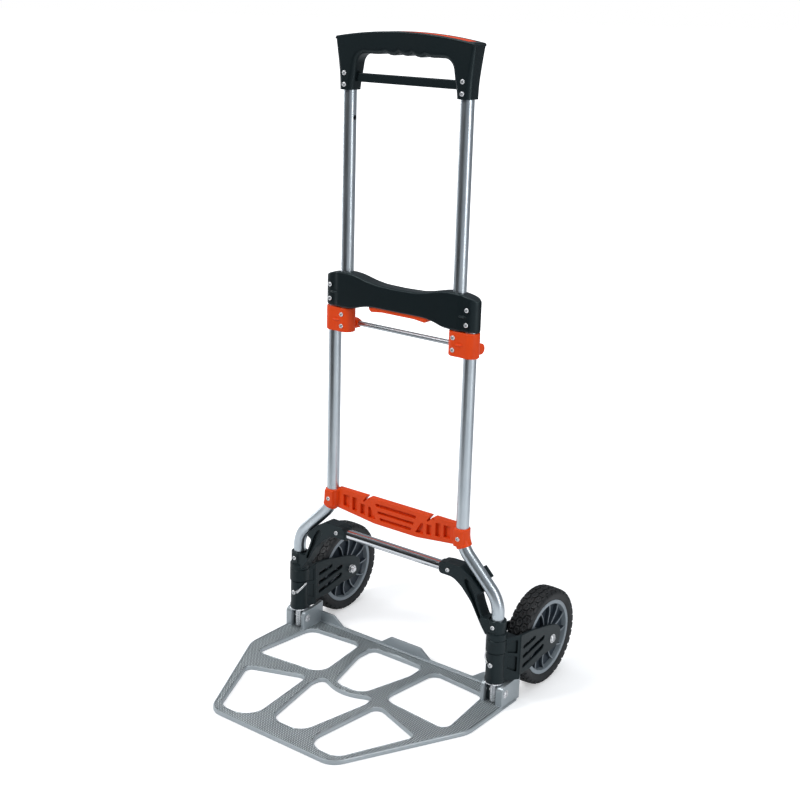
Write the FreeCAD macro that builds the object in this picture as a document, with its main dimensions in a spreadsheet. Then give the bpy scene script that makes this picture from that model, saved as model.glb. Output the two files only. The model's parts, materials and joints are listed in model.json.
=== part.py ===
import FreeCAD, Part
import math
import os
import types

import Sketcher
from FreeCAD import Placement, Rotation, Vector

# Folding luggage cart, in millimetres.
# Frame: X across the cart, Y towards the wheels, Z up. The origin is on the floor,
# midway between the two legs; the legs and the four frame tubes lie in the plane Y = 0.

doc = FreeCAD.newDocument("folding_luggage_cart")

# ---------------------------------------------------------------- driving dimensions
SIZES = {
    # tubes
    "tube_radius": 11.0, "tube_wall": 1.5, "upper_tube_x": 117.6, "lower_tube_x": 142.8,
    "leg_x": 222.3, "bend_radius": 55.0, "bend_top": 299.0, "leg_end": 49.0, "slip_gap": 0.08,
    # leg pin and toe plate hinge
    "leg_pin_radius": 7.0, "leg_pin_end": 10.0, "hinge_height": 29.0, "hinge_radius": 3.5,
    "hinge_head_radius": 6.0, "hinge_head": 2.0, "washer_radius": 17.5, "washer_base": 46.0,
    "washer_thick": 2.0, "guard_x": 220.75, "guard_half": 11.0,
    # toe plate
    "plate_half_width": 246.0, "plate_back": 45.0, "plate_front": 328.0, "plate_thick": 8.0,
    "lip_thick": 5.0, "lip_low": 11.5, "lip_high": 28.5, "lug_front": 11.0, "lug_height": 45.0,
    "inner_lug_x": 201.5, "inner_lug_thick": 7.5, "outer_lug_thick": 13.5,
    # crossbar, corner brackets and collars
    "bar_radius": 9.0, "bar_height": 227.5, "bar_half": 122.0, "strut_depth": 26.0,
    "collar_radius": 15.5, "collar_base": 129.0, "collar_top": 163.0,
    "collar_foot_radius": 18.0, "collar_foot": 11.0,
    # lower crossmember
    "cross_top": 311.0, "cross_back": 12.0, "cross_depth": 12.5, "recess_depth": 7.5,
    "clamp_top": 308.5, "clamp_radius": 13.8,
    # middle bracket and its latch
    "bracket_base": 650.0, "bracket_front": 16.0, "bracket_back": 14.0, "cover_wall": 3.0,
    "latch_height": 681.0, "latch_radius": 3.5, "latch_nose": 106.2, "latch_tail": 46.0,
    "peg_radius": 2.4, "peg_x": 52.0, "trigger_plate_back": 4.3, "trigger_plate": 3.7,
    "trigger_travel": 6.0, "spring_radius": 3.0, "spring_wire": 0.5, "spring_inner": 22.0,
    # telescoping handle
    "handle_travel": 290.0, "socket_base": 1016.0, "socket_depth": 34.0, "grip_radius": 16.5,
    "block_base": 606.0, "block_top": 648.5, "block_radius": 15.2, "boss_radius": 9.5,
    "boss_y": 22.0, "boss_height": 617.0, "rod_radius": 4.5, "rod_half": 149.0,
    "grip_bar_base": 1029.5, "grip_bar_top": 1043.5,
    # forks and wheels
    "sleeve_base": 48.3, "sleeve_top": 128.6, "sleeve_radius": 16.5, "wheel_offset": 7.0,
    "hub_y": 130.0, "tyre_radius": 87.5, "tyre_half": 20.5, "rim_radius": 68.0,
    "rim_half": 18.0, "arm_outer": 27.0, "arm_thick": 4.5, "axle_radius": 5.0,
    "bush_radius": 8.0, "hub_radius": 15.0, "hub_half": 20.0, "spoke_thick": 2.2,
    # screws
    "screw_radius": 4.0, "screw_head": 1.6, "shank_radius": 2.0,
    "link_radius": 1.7, "link_length": 15.0,
}

sheet = doc.addObject("Spreadsheet::Sheet", "dims")
for row, (alias, value) in enumerate(SIZES.items(), start=1):
    sheet.set(f"A{row}", alias)
    sheet.set(f"B{row}", str(value))
    sheet.setAlias(f"B{row}", alias)
doc.recompute()
d = types.SimpleNamespace(**SIZES)

SIDES = {"left": -1, "right": 1}
SUBPARTS = []


# ---------------------------------------------------------------- helpers
def keep(obj, label):
    """Name a finished sub-part; the label is also its file name."""
    obj.Label = label
    SUBPARTS.append(obj)
    return obj


def turned(axis):
    """Rotation that lays a feature's own Z axis along the named axis."""
    turns = {
        "x": Rotation(Vector(0, 1, 0), 90),
        "y": Rotation(Vector(1, 0, 0), -90),
        "-y": Rotation(Vector(1, 0, 0), 90),
        "z": Rotation(),
    }
    return turns[axis]


def place(obj, base, turn=Rotation()):
    """Put an object at a base point whose three coordinates are expressions."""
    obj.Placement = Placement(Vector(), turn)
    for letter, text in zip("xyz", base):
        obj.setExpression("Placement.Base." + letter, str(text))


def rod(radius, length, base, axis="z"):
    """Cylinder along an axis, with expressions for its sizes and its base centre."""
    obj = doc.addObject("Part::Cylinder", "rod")
    obj.setExpression("Radius", str(radius))
    obj.setExpression("Height", str(length))
    place(obj, base, turned(axis))
    return obj


def block(size, base):
    """Box with expressions for its three sizes and its lowest corner."""
    obj = doc.addObject("Part::Box", "block")
    for prop, text in zip(("Length", "Width", "Height"), size):
        obj.setExpression(prop, str(text))
    place(obj, base)
    return obj


def cut(base, tool):
    obj = doc.addObject("Part::Cut", "cut")
    obj.Base = base
    obj.Tool = tool
    return obj


def cut_all(base, tools):
    for tool in tools:
        base = cut(base, tool)
    return base


def fuse(pieces):
    obj = doc.addObject("Part::MultiFuse", "fusion")
    obj.Shapes = pieces
    obj.Refine = True
    return obj


def group(pieces):
    """Separate solids that share one node."""
    obj = doc.addObject("Part::Compound", "group")
    obj.Links = pieces
    return obj


def mirrored(points):
    """Complete a half outline of (x, y, radius) corners with its mirror image in x."""
    half = [(-x, y, r) for x, y, r in reversed(points) if x != 0]
    return points + half


def outline(corners):
    """Closed outline through (x, y, radius) corners, as lines and tangent arcs."""
    points = [Vector(x, y, 0) for x, y, _ in corners]
    starts, ends, mids = [], [], []
    for i, (_, _, radius) in enumerate(corners):
        here = points[i]
        before = (points[i - 1] - here).normalize()
        after = (points[(i + 1) % len(points)] - here).normalize()
        half = before.getAngle(after) / 2
        if radius == 0:
            starts.append(here)
            ends.append(here)
            mids.append(None)
            continue
        trim = radius / math.tan(half)
        middle = (before + after).normalize()
        centre = here + middle * (radius / math.sin(half))
        starts.append(here + before * trim)
        ends.append(here + after * trim)
        mids.append(centre - middle * radius)
    edges = []
    for i, mid in enumerate(mids):
        if mid is not None:
            edges.append(Part.Arc(starts[i], mid, ends[i]))
        following = starts[(i + 1) % len(starts)]
        edges.append(Part.LineSegment(ends[i], following))
    return edges


def ring(x, y, radius):
    return [Part.Circle(Vector(x, y, 0), Vector(0, 0, 1), radius)]


def body(label):
    return doc.addObject("PartDesign::Body", label)


def sketch(owner, role, loops, offset="0"):
    """Sketch on one of the body's own origin planes, offset along the plane's normal."""
    obj = owner.newObject("Sketcher::SketchObject", "sketch")
    plane = next(f for f in owner.Origin.OriginFeatures if f.Role == role)
    obj.AttachmentSupport = [(plane, "")]
    obj.MapMode = "FlatFace"
    obj.setExpression("AttachmentOffset.Base.z", str(offset))
    for loop in loops:
        obj.addGeometry(loop, False)
    return obj


def pad(owner, profile, length, midplane=False):
    obj = owner.newObject("PartDesign::Pad", "pad")
    obj.Profile = profile
    obj.setExpression("Length", str(length))
    obj.Midplane = midplane
    doc.recompute()
    return obj


def pocket(owner, profile, length, reverse=False):
    """Pocket of a set depth; it has to remove material, so the volumes are compared."""
    before = owner.Shape.Volume
    obj = owner.newObject("PartDesign::Pocket", "pocket")
    obj.Profile = profile
    obj.setExpression("Length", str(length))
    obj.Reversed = reverse
    doc.recompute()
    if owner.Shape.Volume >= before:
        raise RuntimeError(f"{owner.Name}: a pocket removes nothing")
    return obj


def prism(label, role, loops, offset, length):
    """Body made of one padded sketch."""
    owner = body(label)
    pad(owner, sketch(owner, role, loops, offset), length)
    return owner


def front_prism(label, loops, back, depth):
    """Prism drawn in X and Z, from the plane Y = back towards the front by depth."""
    return prism(label, "XZ_Plane", loops, f"-({back})", depth)


def screw(x, face, height, reach=8):
    """Pan-head screw driven along +Y, its head resting on the plane Y = face."""
    head = rod("dims.screw_radius", "dims.screw_head", (x, face, height), "-y")
    shank = rod("dims.shank_radius", reach, (x, face, height), "y")
    return fuse([head, shank])


def screw_hole(x, face, height, reach=8):
    return rod("dims.shank_radius", f"{reach} + 0.5", (x, face, height), "y")


# ---------------------------------------------------------------- lower frame tubes
def tube_spine(owner, side):
    """Centre line of a bent lower tube, from the leg's end up to the middle bracket."""
    step = d.leg_x - d.lower_tube_x
    turn = math.radians(45)
    run = (step - 2 * d.bend_radius * (1 - math.cos(turn))) / math.sin(turn)
    drop = d.bend_radius * math.sin(turn)
    half = math.radians(22.5)

    def point(x, z):
        return Vector(side * x, z, 0)

    def on_upper(angle):
        x = d.lower_tube_x + d.bend_radius * (1 - math.cos(angle))
        return point(x, d.bend_top - d.bend_radius * math.sin(angle))

    low = d.bend_top - 2 * drop - run * math.cos(turn)

    def on_lower(angle):
        x = d.leg_x - d.bend_radius * (1 - math.cos(angle))
        return point(x, low + d.bend_radius * math.sin(angle))

    path = [
        Part.LineSegment(point(d.leg_x, d.leg_end), on_lower(0)),
        Part.Arc(on_lower(0), on_lower(half), on_lower(turn)),
        Part.LineSegment(on_lower(turn), on_upper(turn)),
        Part.Arc(on_upper(turn), on_upper(half), on_upper(0)),
        Part.LineSegment(on_upper(0), point(d.lower_tube_x, d.bracket_base + 52)),
    ]
    return sketch(owner, "XZ_Plane", [path])


def bent_tube(name, side, radii):
    """Pipe along a lower tube's centre line; radii are expressions, largest first."""
    owner = body(name)
    spine = tube_spine(owner, side)
    profile = sketch(owner, "XY_Plane", [], "dims.leg_end")
    for i, text in enumerate(radii):
        circle = Part.Circle(Vector(side * d.leg_x, 0, 0), Vector(0, 0, 1), d.tube_radius - i)
        profile.addGeometry(circle, False)
        profile.addConstraint(Sketcher.Constraint("Radius", i, d.tube_radius - i))
        profile.setExpression(f"Constraints[{i}]", text)
    pipe = owner.newObject("PartDesign::AdditivePipe", "pipe")
    pipe.Profile = profile
    pipe.Spine = spine
    doc.recompute()
    return owner


def lower_tubes():
    for name, side in SIDES.items():
        radii = ["dims.tube_radius", "dims.tube_radius - dims.tube_wall"]
        keep(bent_tube("lower_tube", side, radii), f"{name}_lower_tube")


def tube_envelope(side):
    """Solid a hair larger than a lower tube, for the mouldings that clasp it."""
    return bent_tube("tube_envelope", side, ["dims.tube_radius + dims.slip_gap / 2"])


# ---------------------------------------------------------------- leg ends
def leg_pins():
    """Turned steel pin that plugs each leg and carries the toe plate's hinge pin."""
    for name, side in SIDES.items():
        x = f"{side} * dims.leg_x"
        pin = rod("dims.leg_pin_radius", "dims.leg_end - dims.leg_pin_end",
                  (x, 0, "dims.leg_pin_end"))
        plug_radius = "dims.tube_radius - dims.tube_wall - dims.slip_gap / 2"
        plug = rod(plug_radius, 35, (x, 0, "dims.leg_end"))
        solid = fuse([pin, plug])
        bore = rod("dims.hinge_radius + dims.slip_gap", 40,
                   (f"{x} - 20", 0, "dims.hinge_height"), "x")
        keep(cut(solid, bore), f"{name}_leg_pin")


def leg_guards():
    """Moulded filler behind each leg pin, between the toe plate's lugs."""
    for name, side in SIDES.items():
        low = "dims.guard_x - dims.guard_half" if side > 0 else "-dims.guard_x - dims.guard_half"
        filler = block(("2 * dims.guard_half", 13, 34.5), (low, 1, 11))
        bore = rod("dims.leg_pin_radius + dims.slip_gap / 2", 40, (f"{side} * dims.leg_x", 0, 8))
        hinge = rod("dims.hinge_radius + dims.slip_gap", 40,
                    (f"{side} * dims.leg_x - 20", 0, "dims.hinge_height"), "x")
        keep(cut_all(filler, [bore, hinge]), f"{name}_leg_guard")


def leg_washers():
    washers = []
    for side in SIDES.values():
        base = (f"{side} * dims.leg_x", 0, "dims.washer_base")
        disc = rod("dims.washer_radius", "dims.washer_thick", base)
        bore = rod("dims.leg_pin_radius + dims.slip_gap / 2", "dims.washer_thick", base)
        washers.append(cut(disc, bore))
    keep(group(washers), "leg_washers")


# ---------------------------------------------------------------- crossbar and corner brackets
STRUT_FRONT = 13.0


def corner_brackets():
    """Moulded gusset on each side: bar socket, curved strut and collar round the leg."""
    for name, side in SIDES.items():
        corners = [
            (104.5, 218.0, 8), (104.5, 247.0, 10), (150.0, 247.0, 5), (180.0, 226.0, 0),
            (193.0, 210.5, 0), (187.0, 207.0, 0), (205.0, 170.0, 0), (214.0, 160.0, 0),
            (214.0, 134.0, 0), (206.0, 134.0, 0), (200.0, 140.0, 4), (152.0, 218.0, 62),
        ]
        shape = [(side * x, z, r) for x, z, r in corners]
        strut = front_prism("strut", [outline(shape)], "dims.strut_depth / 2", "dims.strut_depth")
        collar = rod("dims.collar_radius", "dims.collar_top - dims.collar_base",
                     (f"{side} * dims.leg_x", 0, "dims.collar_base"))
        foot = rod("dims.collar_foot_radius", "dims.collar_foot",
                   (f"{side} * dims.leg_x", 0, "dims.collar_base"))
        socket = rod("dims.bar_radius + 4", 24, (f"{side} * 116.5 - 12", 0, "dims.bar_height"), "x")
        solid = fuse([strut, collar, foot, socket])
        bar = rod("dims.bar_radius + dims.slip_gap / 2", "2 * dims.bar_half + 0.4",
                  ("-dims.bar_half - 0.2", 0, "dims.bar_height"), "x")
        leg_hole = screw_hole(f"{side} * dims.leg_x", "-dims.collar_radius", 152, 3)
        bar_hole = screw_hole(f"{side} * 124", -STRUT_FRONT, 228.6, 3)
        keep(cut_all(solid, [tube_envelope(side), bar, leg_hole, bar_hole]),
             f"{name}_corner_bracket")


def corner_bracket_screws():
    screws = []
    for side in SIDES.values():
        screws.append(screw(f"{side} * dims.leg_x", "-dims.collar_radius", 152, 3))
        screws.append(screw(f"{side} * 124", -STRUT_FRONT, 228.6, 3))
    keep(group(screws), "corner_bracket_screws")


def crossbar():
    bar = rod("dims.bar_radius", "2 * dims.bar_half", ("-dims.bar_half", 0, "dims.bar_height"), "x")
    bore = rod("dims.bar_radius - dims.tube_wall", "2 * dims.bar_half",
               ("-dims.bar_half", 0, "dims.bar_height"), "x")
    keep(cut(bar, bore), "crossbar")


# ---------------------------------------------------------------- lower crossmember
CROSS_SCREW_HEIGHT = 291.0


def hook_slots():
    """Slanted slots in the top edge, where a luggage cord is hooked."""
    slots = []
    for side in SIDES.values():
        x = side * 70.5
        slots.append([(x - 3.8, 299.0, 0.8), (x - 0.8, 299.0, 0.8), (x + 6.0, 313.0, 0),
                      (x + 0.5, 313.0, 0)])
    return slots


def crossmember_recesses():
    """Weight-saving pockets in the front face: upright ones each side, long ones between."""
    uprights = []
    for side in SIDES.values():
        for inner, outer, base, top in ((104.4, 118.3, 279, 300), (87.0, 97.5, 276.5, 300),
                                        (68.5, 78.7, 273.5, 292), (53.0, 61.0, 271, 292)):
            foot = inner - 6 if inner < 60 else inner
            corners = [(inner, top, 1), (outer, top, 1), (outer, base, 1), (foot, base, 1)]
            uprights.append([(side * x, z, r) for x, z, r in corners])
    grooves = []
    for half_top, half_base, base, top in ((47, 42, 295, 302), (40, 38, 283.5, 289), (36, 32, 271.5, 277)):
        grooves.append(mirrored([(half_top, top, 1.5), (half_base, base, 1.5)]))
    return uprights + grooves


def clamp_sleeve(side):
    """Sleeve round a lower tube that follows the first part of its bend."""
    owner = body("clamp")
    turn = math.radians(28)

    def on_bend(angle):
        x = d.lower_tube_x + d.bend_radius * (1 - math.cos(angle))
        return Vector(side * x, d.bend_top - d.bend_radius * math.sin(angle), 0)

    top = Vector(side * d.lower_tube_x, d.clamp_top, 0)
    path = [Part.LineSegment(top, on_bend(0)), Part.Arc(on_bend(0), on_bend(turn / 2), on_bend(turn))]
    spine = sketch(owner, "XZ_Plane", [path])
    profile = sketch(owner, "XY_Plane", [], "dims.clamp_top")
    circle = Part.Circle(Vector(side * d.lower_tube_x, 0, 0), Vector(0, 0, 1), d.clamp_radius)
    profile.addGeometry(circle, False)
    profile.addConstraint(Sketcher.Constraint("Radius", 0, d.clamp_radius))
    profile.setExpression("Constraints[0]", "dims.clamp_radius")
    pipe = owner.newObject("PartDesign::AdditivePipe", "pipe")
    pipe.Profile = profile
    pipe.Spine = spine
    doc.recompute()
    return owner


def lower_crossmember():
    """Beam between the two lower tubes, with a clamp round each tube at the bend."""
    beam = body("beam")
    shape = mirrored([(136.0, d.cross_top, 0), (136.0, 272.5, 0), (124.0, 272.5, 4), (45.0, 264.0, 60)])
    pad(beam, sketch(beam, "XZ_Plane", [outline(shape)], "-dims.cross_back"), "dims.cross_depth")
    face = "dims.cross_depth - dims.cross_back"
    recesses = [outline(loop) for loop in crossmember_recesses()]
    pocket(beam, sketch(beam, "XZ_Plane", recesses, face), "dims.recess_depth")
    slots = [outline(loop) for loop in hook_slots()]
    pocket(beam, sketch(beam, "XZ_Plane", slots, face), "dims.cross_depth")
    pieces = [beam]
    holes = []
    for side in SIDES.values():
        clamp = clamp_sleeve(side)
        pieces.append(clamp)
        holes.append(tube_envelope(side))
        holes.append(screw_hole(f"{side} * dims.lower_tube_x", "-dims.clamp_radius",
                                CROSS_SCREW_HEIGHT, 1.8))
    keep(cut_all(fuse(pieces), holes), "lower_crossmember")


def crossmember_screws():
    screws = [screw(f"{side} * dims.lower_tube_x", "-dims.clamp_radius", CROSS_SCREW_HEIGHT, 1.8)
              for side in SIDES.values()]
    keep(group(screws), "crossmember_screws")


# ---------------------------------------------------------------- middle bracket
BRACKET_SCREWS = (687.0, 662.5)
BRACKET_TOP = 703.0


def bracket_outline():
    """Saddle shape: low in the middle, humped over the sliding tubes, arched below."""
    return mirrored([
        (0.0, BRACKET_TOP, 0), (45.0, BRACKET_TOP, 60), (88.0, 716.0, 40), (132.0, 716.0, 30),
        (158.5, 704.0, 8), (158.5, d.bracket_base, 4), (101.0, d.bracket_base, 6),
        (84.0, 661.0, 12), (0.0, 661.0, 0),
    ])


def latch_cavity():
    """Hollow for the trigger plate, the latch pins and their springs."""
    return [(-92.0, 697.0, 3), (92.0, 697.0, 3), (92.0, 671.0, 3), (70.0, 664.5, 2), (-70.0, 664.5, 2),
            (-92.0, 671.0, 3)]


def bracket_bores():
    """Bores for the two fixed tubes, the two sliding tubes and the two latch pins."""
    bores = []
    for side in SIDES.values():
        bores.append(rod("dims.tube_radius + dims.slip_gap / 2", 52.2,
                         (f"{side} * dims.lower_tube_x", 0, "dims.bracket_base")))
        bores.append(rod("dims.tube_radius + dims.slip_gap", 80,
                         (f"{side} * dims.upper_tube_x", 0, "dims.bracket_base - 5")))
        bores.append(rod("dims.latch_radius + dims.slip_gap", 30,
                         (f"{side} * 98 - 15", 0, "dims.latch_height"), "x"))
    return bores


def bracket_plan():
    """Prism that rounds both ends of the bracket in plan."""
    near, far, half = -d.bracket_front - 1, d.bracket_back + 1, 158.5
    corners = [(-half, near, 14), (half, near, 14), (half, far, 13), (-half, far, 13)]
    return prism("bracket_plan", "XY_Plane", [outline(corners)], "dims.bracket_base - 2", "80")


def common(first, second):
    obj = doc.addObject("Part::MultiCommon", "common")
    obj.Shapes = [first, second]
    return obj


TRIGGER_MOUTH = [(-66.0, 668.0, 0), (66.0, 668.0, 0), (66.0, 640.0, 0), (-66.0, 640.0, 0)]


def bracket_covers():
    """Two shells that meet on the plane of the tubes."""
    front = body("front_cover")
    pad(front, sketch(front, "XZ_Plane", [outline(bracket_outline())]), "dims.bracket_front")
    pocket(front, sketch(front, "XZ_Plane", [outline(latch_cavity())]),
           "dims.bracket_front - dims.cover_wall", reverse=True)
    pocket(front, sketch(front, "XZ_Plane", [outline(TRIGGER_MOUTH)]),
           "dims.bracket_front - dims.cover_wall", reverse=True)
    holes = []
    for side in SIDES.values():
        for height in BRACKET_SCREWS:
            holes.append(screw_hole(f"{side} * dims.lower_tube_x", "-dims.bracket_front", height, 3.5))
    shell = common(front, bracket_plan())
    keep(cut_all(shell, bracket_bores() + holes), "bracket_front_cover")

    rear = body("rear_cover")
    back = sketch(rear, "XZ_Plane", [outline(bracket_outline())], "-dims.bracket_back")
    pad(rear, back, "dims.bracket_back")
    pocket(rear, sketch(rear, "XZ_Plane", [outline(latch_cavity())]),
           "dims.bracket_back - dims.cover_wall")
    pocket(rear, sketch(rear, "XZ_Plane", [outline(TRIGGER_MOUTH)]),
           "dims.bracket_back - dims.cover_wall")
    seat = block(("2 * dims.spring_inner", "dims.bracket_back + 2", 12),
                 ("-dims.spring_inner", -3.5, "dims.latch_height - 6"))
    shell = common(fuse([rear, seat]), bracket_plan())
    keep(cut_all(shell, bracket_bores()), "bracket_rear_cover")


def bracket_screws():
    screws = []
    for side in SIDES.values():
        for height in BRACKET_SCREWS:
            screws.append(screw(f"{side} * dims.lower_tube_x", "-dims.bracket_front", height, 3.5))
    keep(group(screws), "bracket_screws")


# ---------------------------------------------------------------- latch
def release_trigger():
    """Finger bar under the bracket with a cam plate; its two slots draw the pins inwards."""
    finger = mirrored([(0.0, 657.0, 0), (30.0, 657.0, 40), (56.0, 652.5, 4), (63.0, 668.0, 2),
                       (0.0, 668.0, 0)])
    bar = front_prism("finger_bar", [outline(finger)], 9, 20)
    plate = body("cam_plate")
    shape = mirrored([(0.0, 667.0, 0), (61.0, 667.0, 0), (61.0, 688.0, 3), (36.0, 688.0, 3),
                      (30.0, 674.0, 3), (0.0, 674.0, 0)])
    pad(plate, sketch(plate, "XZ_Plane", [outline(shape)], "dims.trigger_plate_back"),
        "dims.trigger_plate")
    slots = []
    width = d.peg_radius + 0.3
    for side in SIDES.values():
        slots.append(cam_slot(side * d.peg_x, d.latch_height, -side, width))
    pocket(plate, sketch(plate, "XZ_Plane", slots, "dims.trigger_plate_back - 0.5"),
           "dims.trigger_plate + 1", reverse=True)
    keep(fuse([bar, plate]), "release_trigger")


def cam_slot(x, z, inward, width):
    """Round-ended slot that runs down and inwards at 45 degrees by the trigger's travel."""
    start = Vector(x, z, 0)
    step = Vector(inward * d.trigger_travel, -d.trigger_travel, 0)
    along = Vector(step).normalize()
    across = Vector(-along.y, along.x, 0) * width
    end = start + step
    return [
        Part.LineSegment(start + across, end + across),
        Part.Arc(end + across, end + along * width, end - across),
        Part.LineSegment(end - across, start - across),
        Part.Arc(start - across, start - along * width, start + across),
    ]


def latch_pins():
    """Steel bolts that point at the locking holes of the sliding tubes."""
    for name, side in SIDES.items():
        inner = "dims.latch_tail" if side > 0 else "-dims.latch_nose"
        pin = rod("dims.latch_radius", "dims.latch_nose - dims.latch_tail",
                  (inner, 0, "dims.latch_height"), "x")
        peg = rod("dims.peg_radius", "dims.trigger_plate_back + dims.trigger_plate + 1",
                  (f"{side} * dims.peg_x", 0, "dims.latch_height"), "-y")
        keep(fuse([pin, peg]), f"{name}_latch_pin")


def latch_springs():
    """Compression spring behind each latch pin."""
    for name, side in SIDES.items():
        coil = doc.addObject("Part::Helix", "coil")
        coil.Pitch = 3.0
        coil.setExpression("Height", "dims.latch_tail - dims.spring_inner - 2 * dims.spring_wire - 0.4")
        coil.setExpression("Radius", "dims.spring_radius")
        wire = doc.addObject("Part::Circle", "wire")
        wire.setExpression("Radius", "dims.spring_wire")
        wire.Placement = Placement(Vector(d.spring_radius, 0, 0), Rotation(Vector(1, 0, 0), 90))
        sweep = doc.addObject("Part::Sweep", "spring")
        sweep.Sections = [wire]
        sweep.Spine = (coil, ["Edge1"])
        sweep.Solid = True
        sweep.Frenet = True
        start = "dims.spring_inner + dims.spring_wire + 0.2"
        if side < 0:
            start = "-(dims.latch_tail - dims.spring_wire - 0.2)"
        place(sweep, (start, 0, "dims.latch_height"), turned("x"))
        keep(sweep, f"{name}_latch_spring")


# ---------------------------------------------------------------- telescoping handle
GRIP_SCREWS = (1043.0, 1024.5)
BLOCK_SCREWS = (637.5, 617.0)
CROWN_TOP = 1112.5
CROWN_RADIUS = 812.8


def upper_tubes():
    """Sliding tubes, each with a locking hole for the open and for the closed position."""
    for name, side in SIDES.items():
        x = f"{side} * dims.upper_tube_x"
        base = "dims.block_base + 6"
        length = "dims.socket_base + dims.socket_depth - dims.block_base - 6"
        solid = rod("dims.tube_radius", length, (x, 0, base))
        bore = rod("dims.tube_radius - dims.tube_wall", length, (x, 0, base))
        holes = []
        for height in ("dims.latch_height", "dims.latch_height + dims.handle_travel"):
            holes.append(rod("dims.latch_radius + 0.5", 12,
                             (f"{side} * (dims.upper_tube_x - 8) - 6", 0, height), "x"))
        keep(cut_all(solid, [bore] + holes), f"{name}_upper_tube")


def grip_outline():
    """Arched grip on two sockets; the underside is waved for the fingers."""
    corner = crown_arc(142.0, 0)[2]
    outer = [(134.5, d.socket_base), (137.5, 1062.0), (corner.x, corner.y)]
    inner = [(101.0, d.socket_base), (97.0, 1052.0), (92.0, 1066.0), (80.0, 1074.0)]
    crown = Vector(0, CROWN_TOP, 0)
    edges = []

    def chain(points, side):
        return [Vector(side * x, z, 0) for x, z in points]

    right_out, left_out = chain(outer, 1), chain(outer, -1)
    right_in, left_in = chain(inner, 1), chain(inner, -1)
    for points in (right_out, left_out, right_in, left_in):
        edges += [Part.LineSegment(a, b) for a, b in zip(points, points[1:])]
    edges.append(Part.Arc(left_out[-1], crown, right_out[-1]))
    edges += [Part.LineSegment(right_out[0], right_in[0]), Part.LineSegment(left_out[0], left_in[0])]
    cusps = [left_in[-1]] + [Vector(x, 1079.0, 0) for x in (-45, -15, 15, 45)] + [right_in[-1]]
    for a, b in zip(cusps, cusps[1:]):
        middle = (a + b) * 0.5 + Vector(0, -3.0, 0)
        edges.append(Part.Arc(a, middle, b))
    return edges


def crown_arc(half, offset):
    """Arc concentric with the crown of the grip, offset outwards, across half each way."""
    centre = CROWN_TOP - CROWN_RADIUS
    radius = CROWN_RADIUS + offset
    ends = [Vector(x, centre + math.sqrt(radius ** 2 - half ** 2), 0) for x in (-half, half)]
    return ends[0], Vector(0, centre + radius, 0), ends[1]


def insert_outline(top, bottom):
    """Band along the crown of the grip, between two offsets from it."""
    left_top, mid_top, right_top = crown_arc(124.0, top)
    left_low, mid_low, right_low = crown_arc(124.0, bottom)
    return [
        Part.Arc(left_top, mid_top, right_top),
        Part.LineSegment(right_top, right_low),
        Part.Arc(right_low, mid_low, left_low),
        Part.LineSegment(left_low, left_top),
    ]


INSERT_DROP = 2.5


def handle_grip():
    shell = front_prism("grip_shell", [grip_outline()], "dims.grip_radius", "2 * dims.grip_radius")
    tools = [front_prism("insert_room", [insert_outline(3.0, -INSERT_DROP)], 11.1, 22.2)]
    for side in SIDES.values():
        tools.append(rod("dims.tube_radius + dims.slip_gap / 2", "dims.socket_depth + 0.2",
                         (f"{side} * dims.upper_tube_x", 0, "dims.socket_base")))
        for height in GRIP_SCREWS:
            tools.append(screw_hole(f"{side} * dims.upper_tube_x", "-dims.grip_radius", height, 4))
    bar_gap = block((8, 10.2, "dims.grip_bar_top - dims.grip_bar_base + 0.2"),
                    ("-dims.upper_tube_x + 13", -5.1, "dims.grip_bar_base - 0.1"))
    other_gap = block((8, 10.2, "dims.grip_bar_top - dims.grip_bar_base + 0.2"),
                      ("dims.upper_tube_x - 21", -5.1, "dims.grip_bar_base - 0.1"))
    keep(cut_all(shell, tools + [bar_gap, other_gap]), "handle_grip")


def grip_insert():
    keep(front_prism("insert", [insert_outline(0.0, 0.1 - INSERT_DROP)], 11, 22), "grip_insert")


def handle_crossbar():
    bar = block(("2 * (dims.upper_tube_x - 13.5)", 10, "dims.grip_bar_top - dims.grip_bar_base"),
                ("-(dims.upper_tube_x - 13.5)", -5, "dims.grip_bar_base"))
    keep(bar, "handle_crossbar")


def handle_screws():
    screws = []
    for side in SIDES.values():
        for height in GRIP_SCREWS:
            screws.append(screw(f"{side} * dims.upper_tube_x", "-dims.grip_radius", height, 4))
    keep(group(screws), "handle_screws")


def slider_blocks():
    """Block at the foot of each sliding tube; it runs on the fixed tube beside it."""
    for name, side in SIDES.items():
        first, last = side * d.upper_tube_x, side * d.lower_tube_x
        left, right = min(first, last) - d.block_radius, max(first, last) + d.block_radius
        near, far = -d.block_radius, d.block_radius
        round_corner = d.block_radius - 0.4
        plan = [(left, near, round_corner), (right, near, round_corner), (right, far, round_corner),
                (left, far, round_corner)]
        core = prism("block_core", "XY_Plane", [outline(plan)], "dims.block_base",
                     "dims.block_top - dims.block_base")
        inner = "109" if side > 0 else "-151"
        boss = rod("dims.boss_radius", 42, (inner, "dims.boss_y", "dims.boss_height"), "x")
        web = block((42, "dims.boss_y - 8", "2 * dims.boss_radius"),
                    (inner, 8, "dims.boss_height - dims.boss_radius"))
        tools = [
            rod("dims.tube_radius + dims.slip_gap / 2", 60,
                (f"{side} * dims.upper_tube_x", 0, "dims.block_base + 6")),
            rod("dims.tube_radius + dims.slip_gap", 60,
                (f"{side} * dims.lower_tube_x", 0, "dims.block_base - 5")),
            rod("dims.rod_radius + dims.slip_gap / 2", "2 * dims.rod_half + 10",
                ("-dims.rod_half - 5", "dims.boss_y", "dims.boss_height"), "x"),
        ]
        for height in BLOCK_SCREWS:
            tools.append(screw_hole(f"{side} * dims.upper_tube_x", "-dims.block_radius", height, 3))
        keep(cut_all(fuse([core, boss, web]), tools), f"{name}_slider_block")


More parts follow.
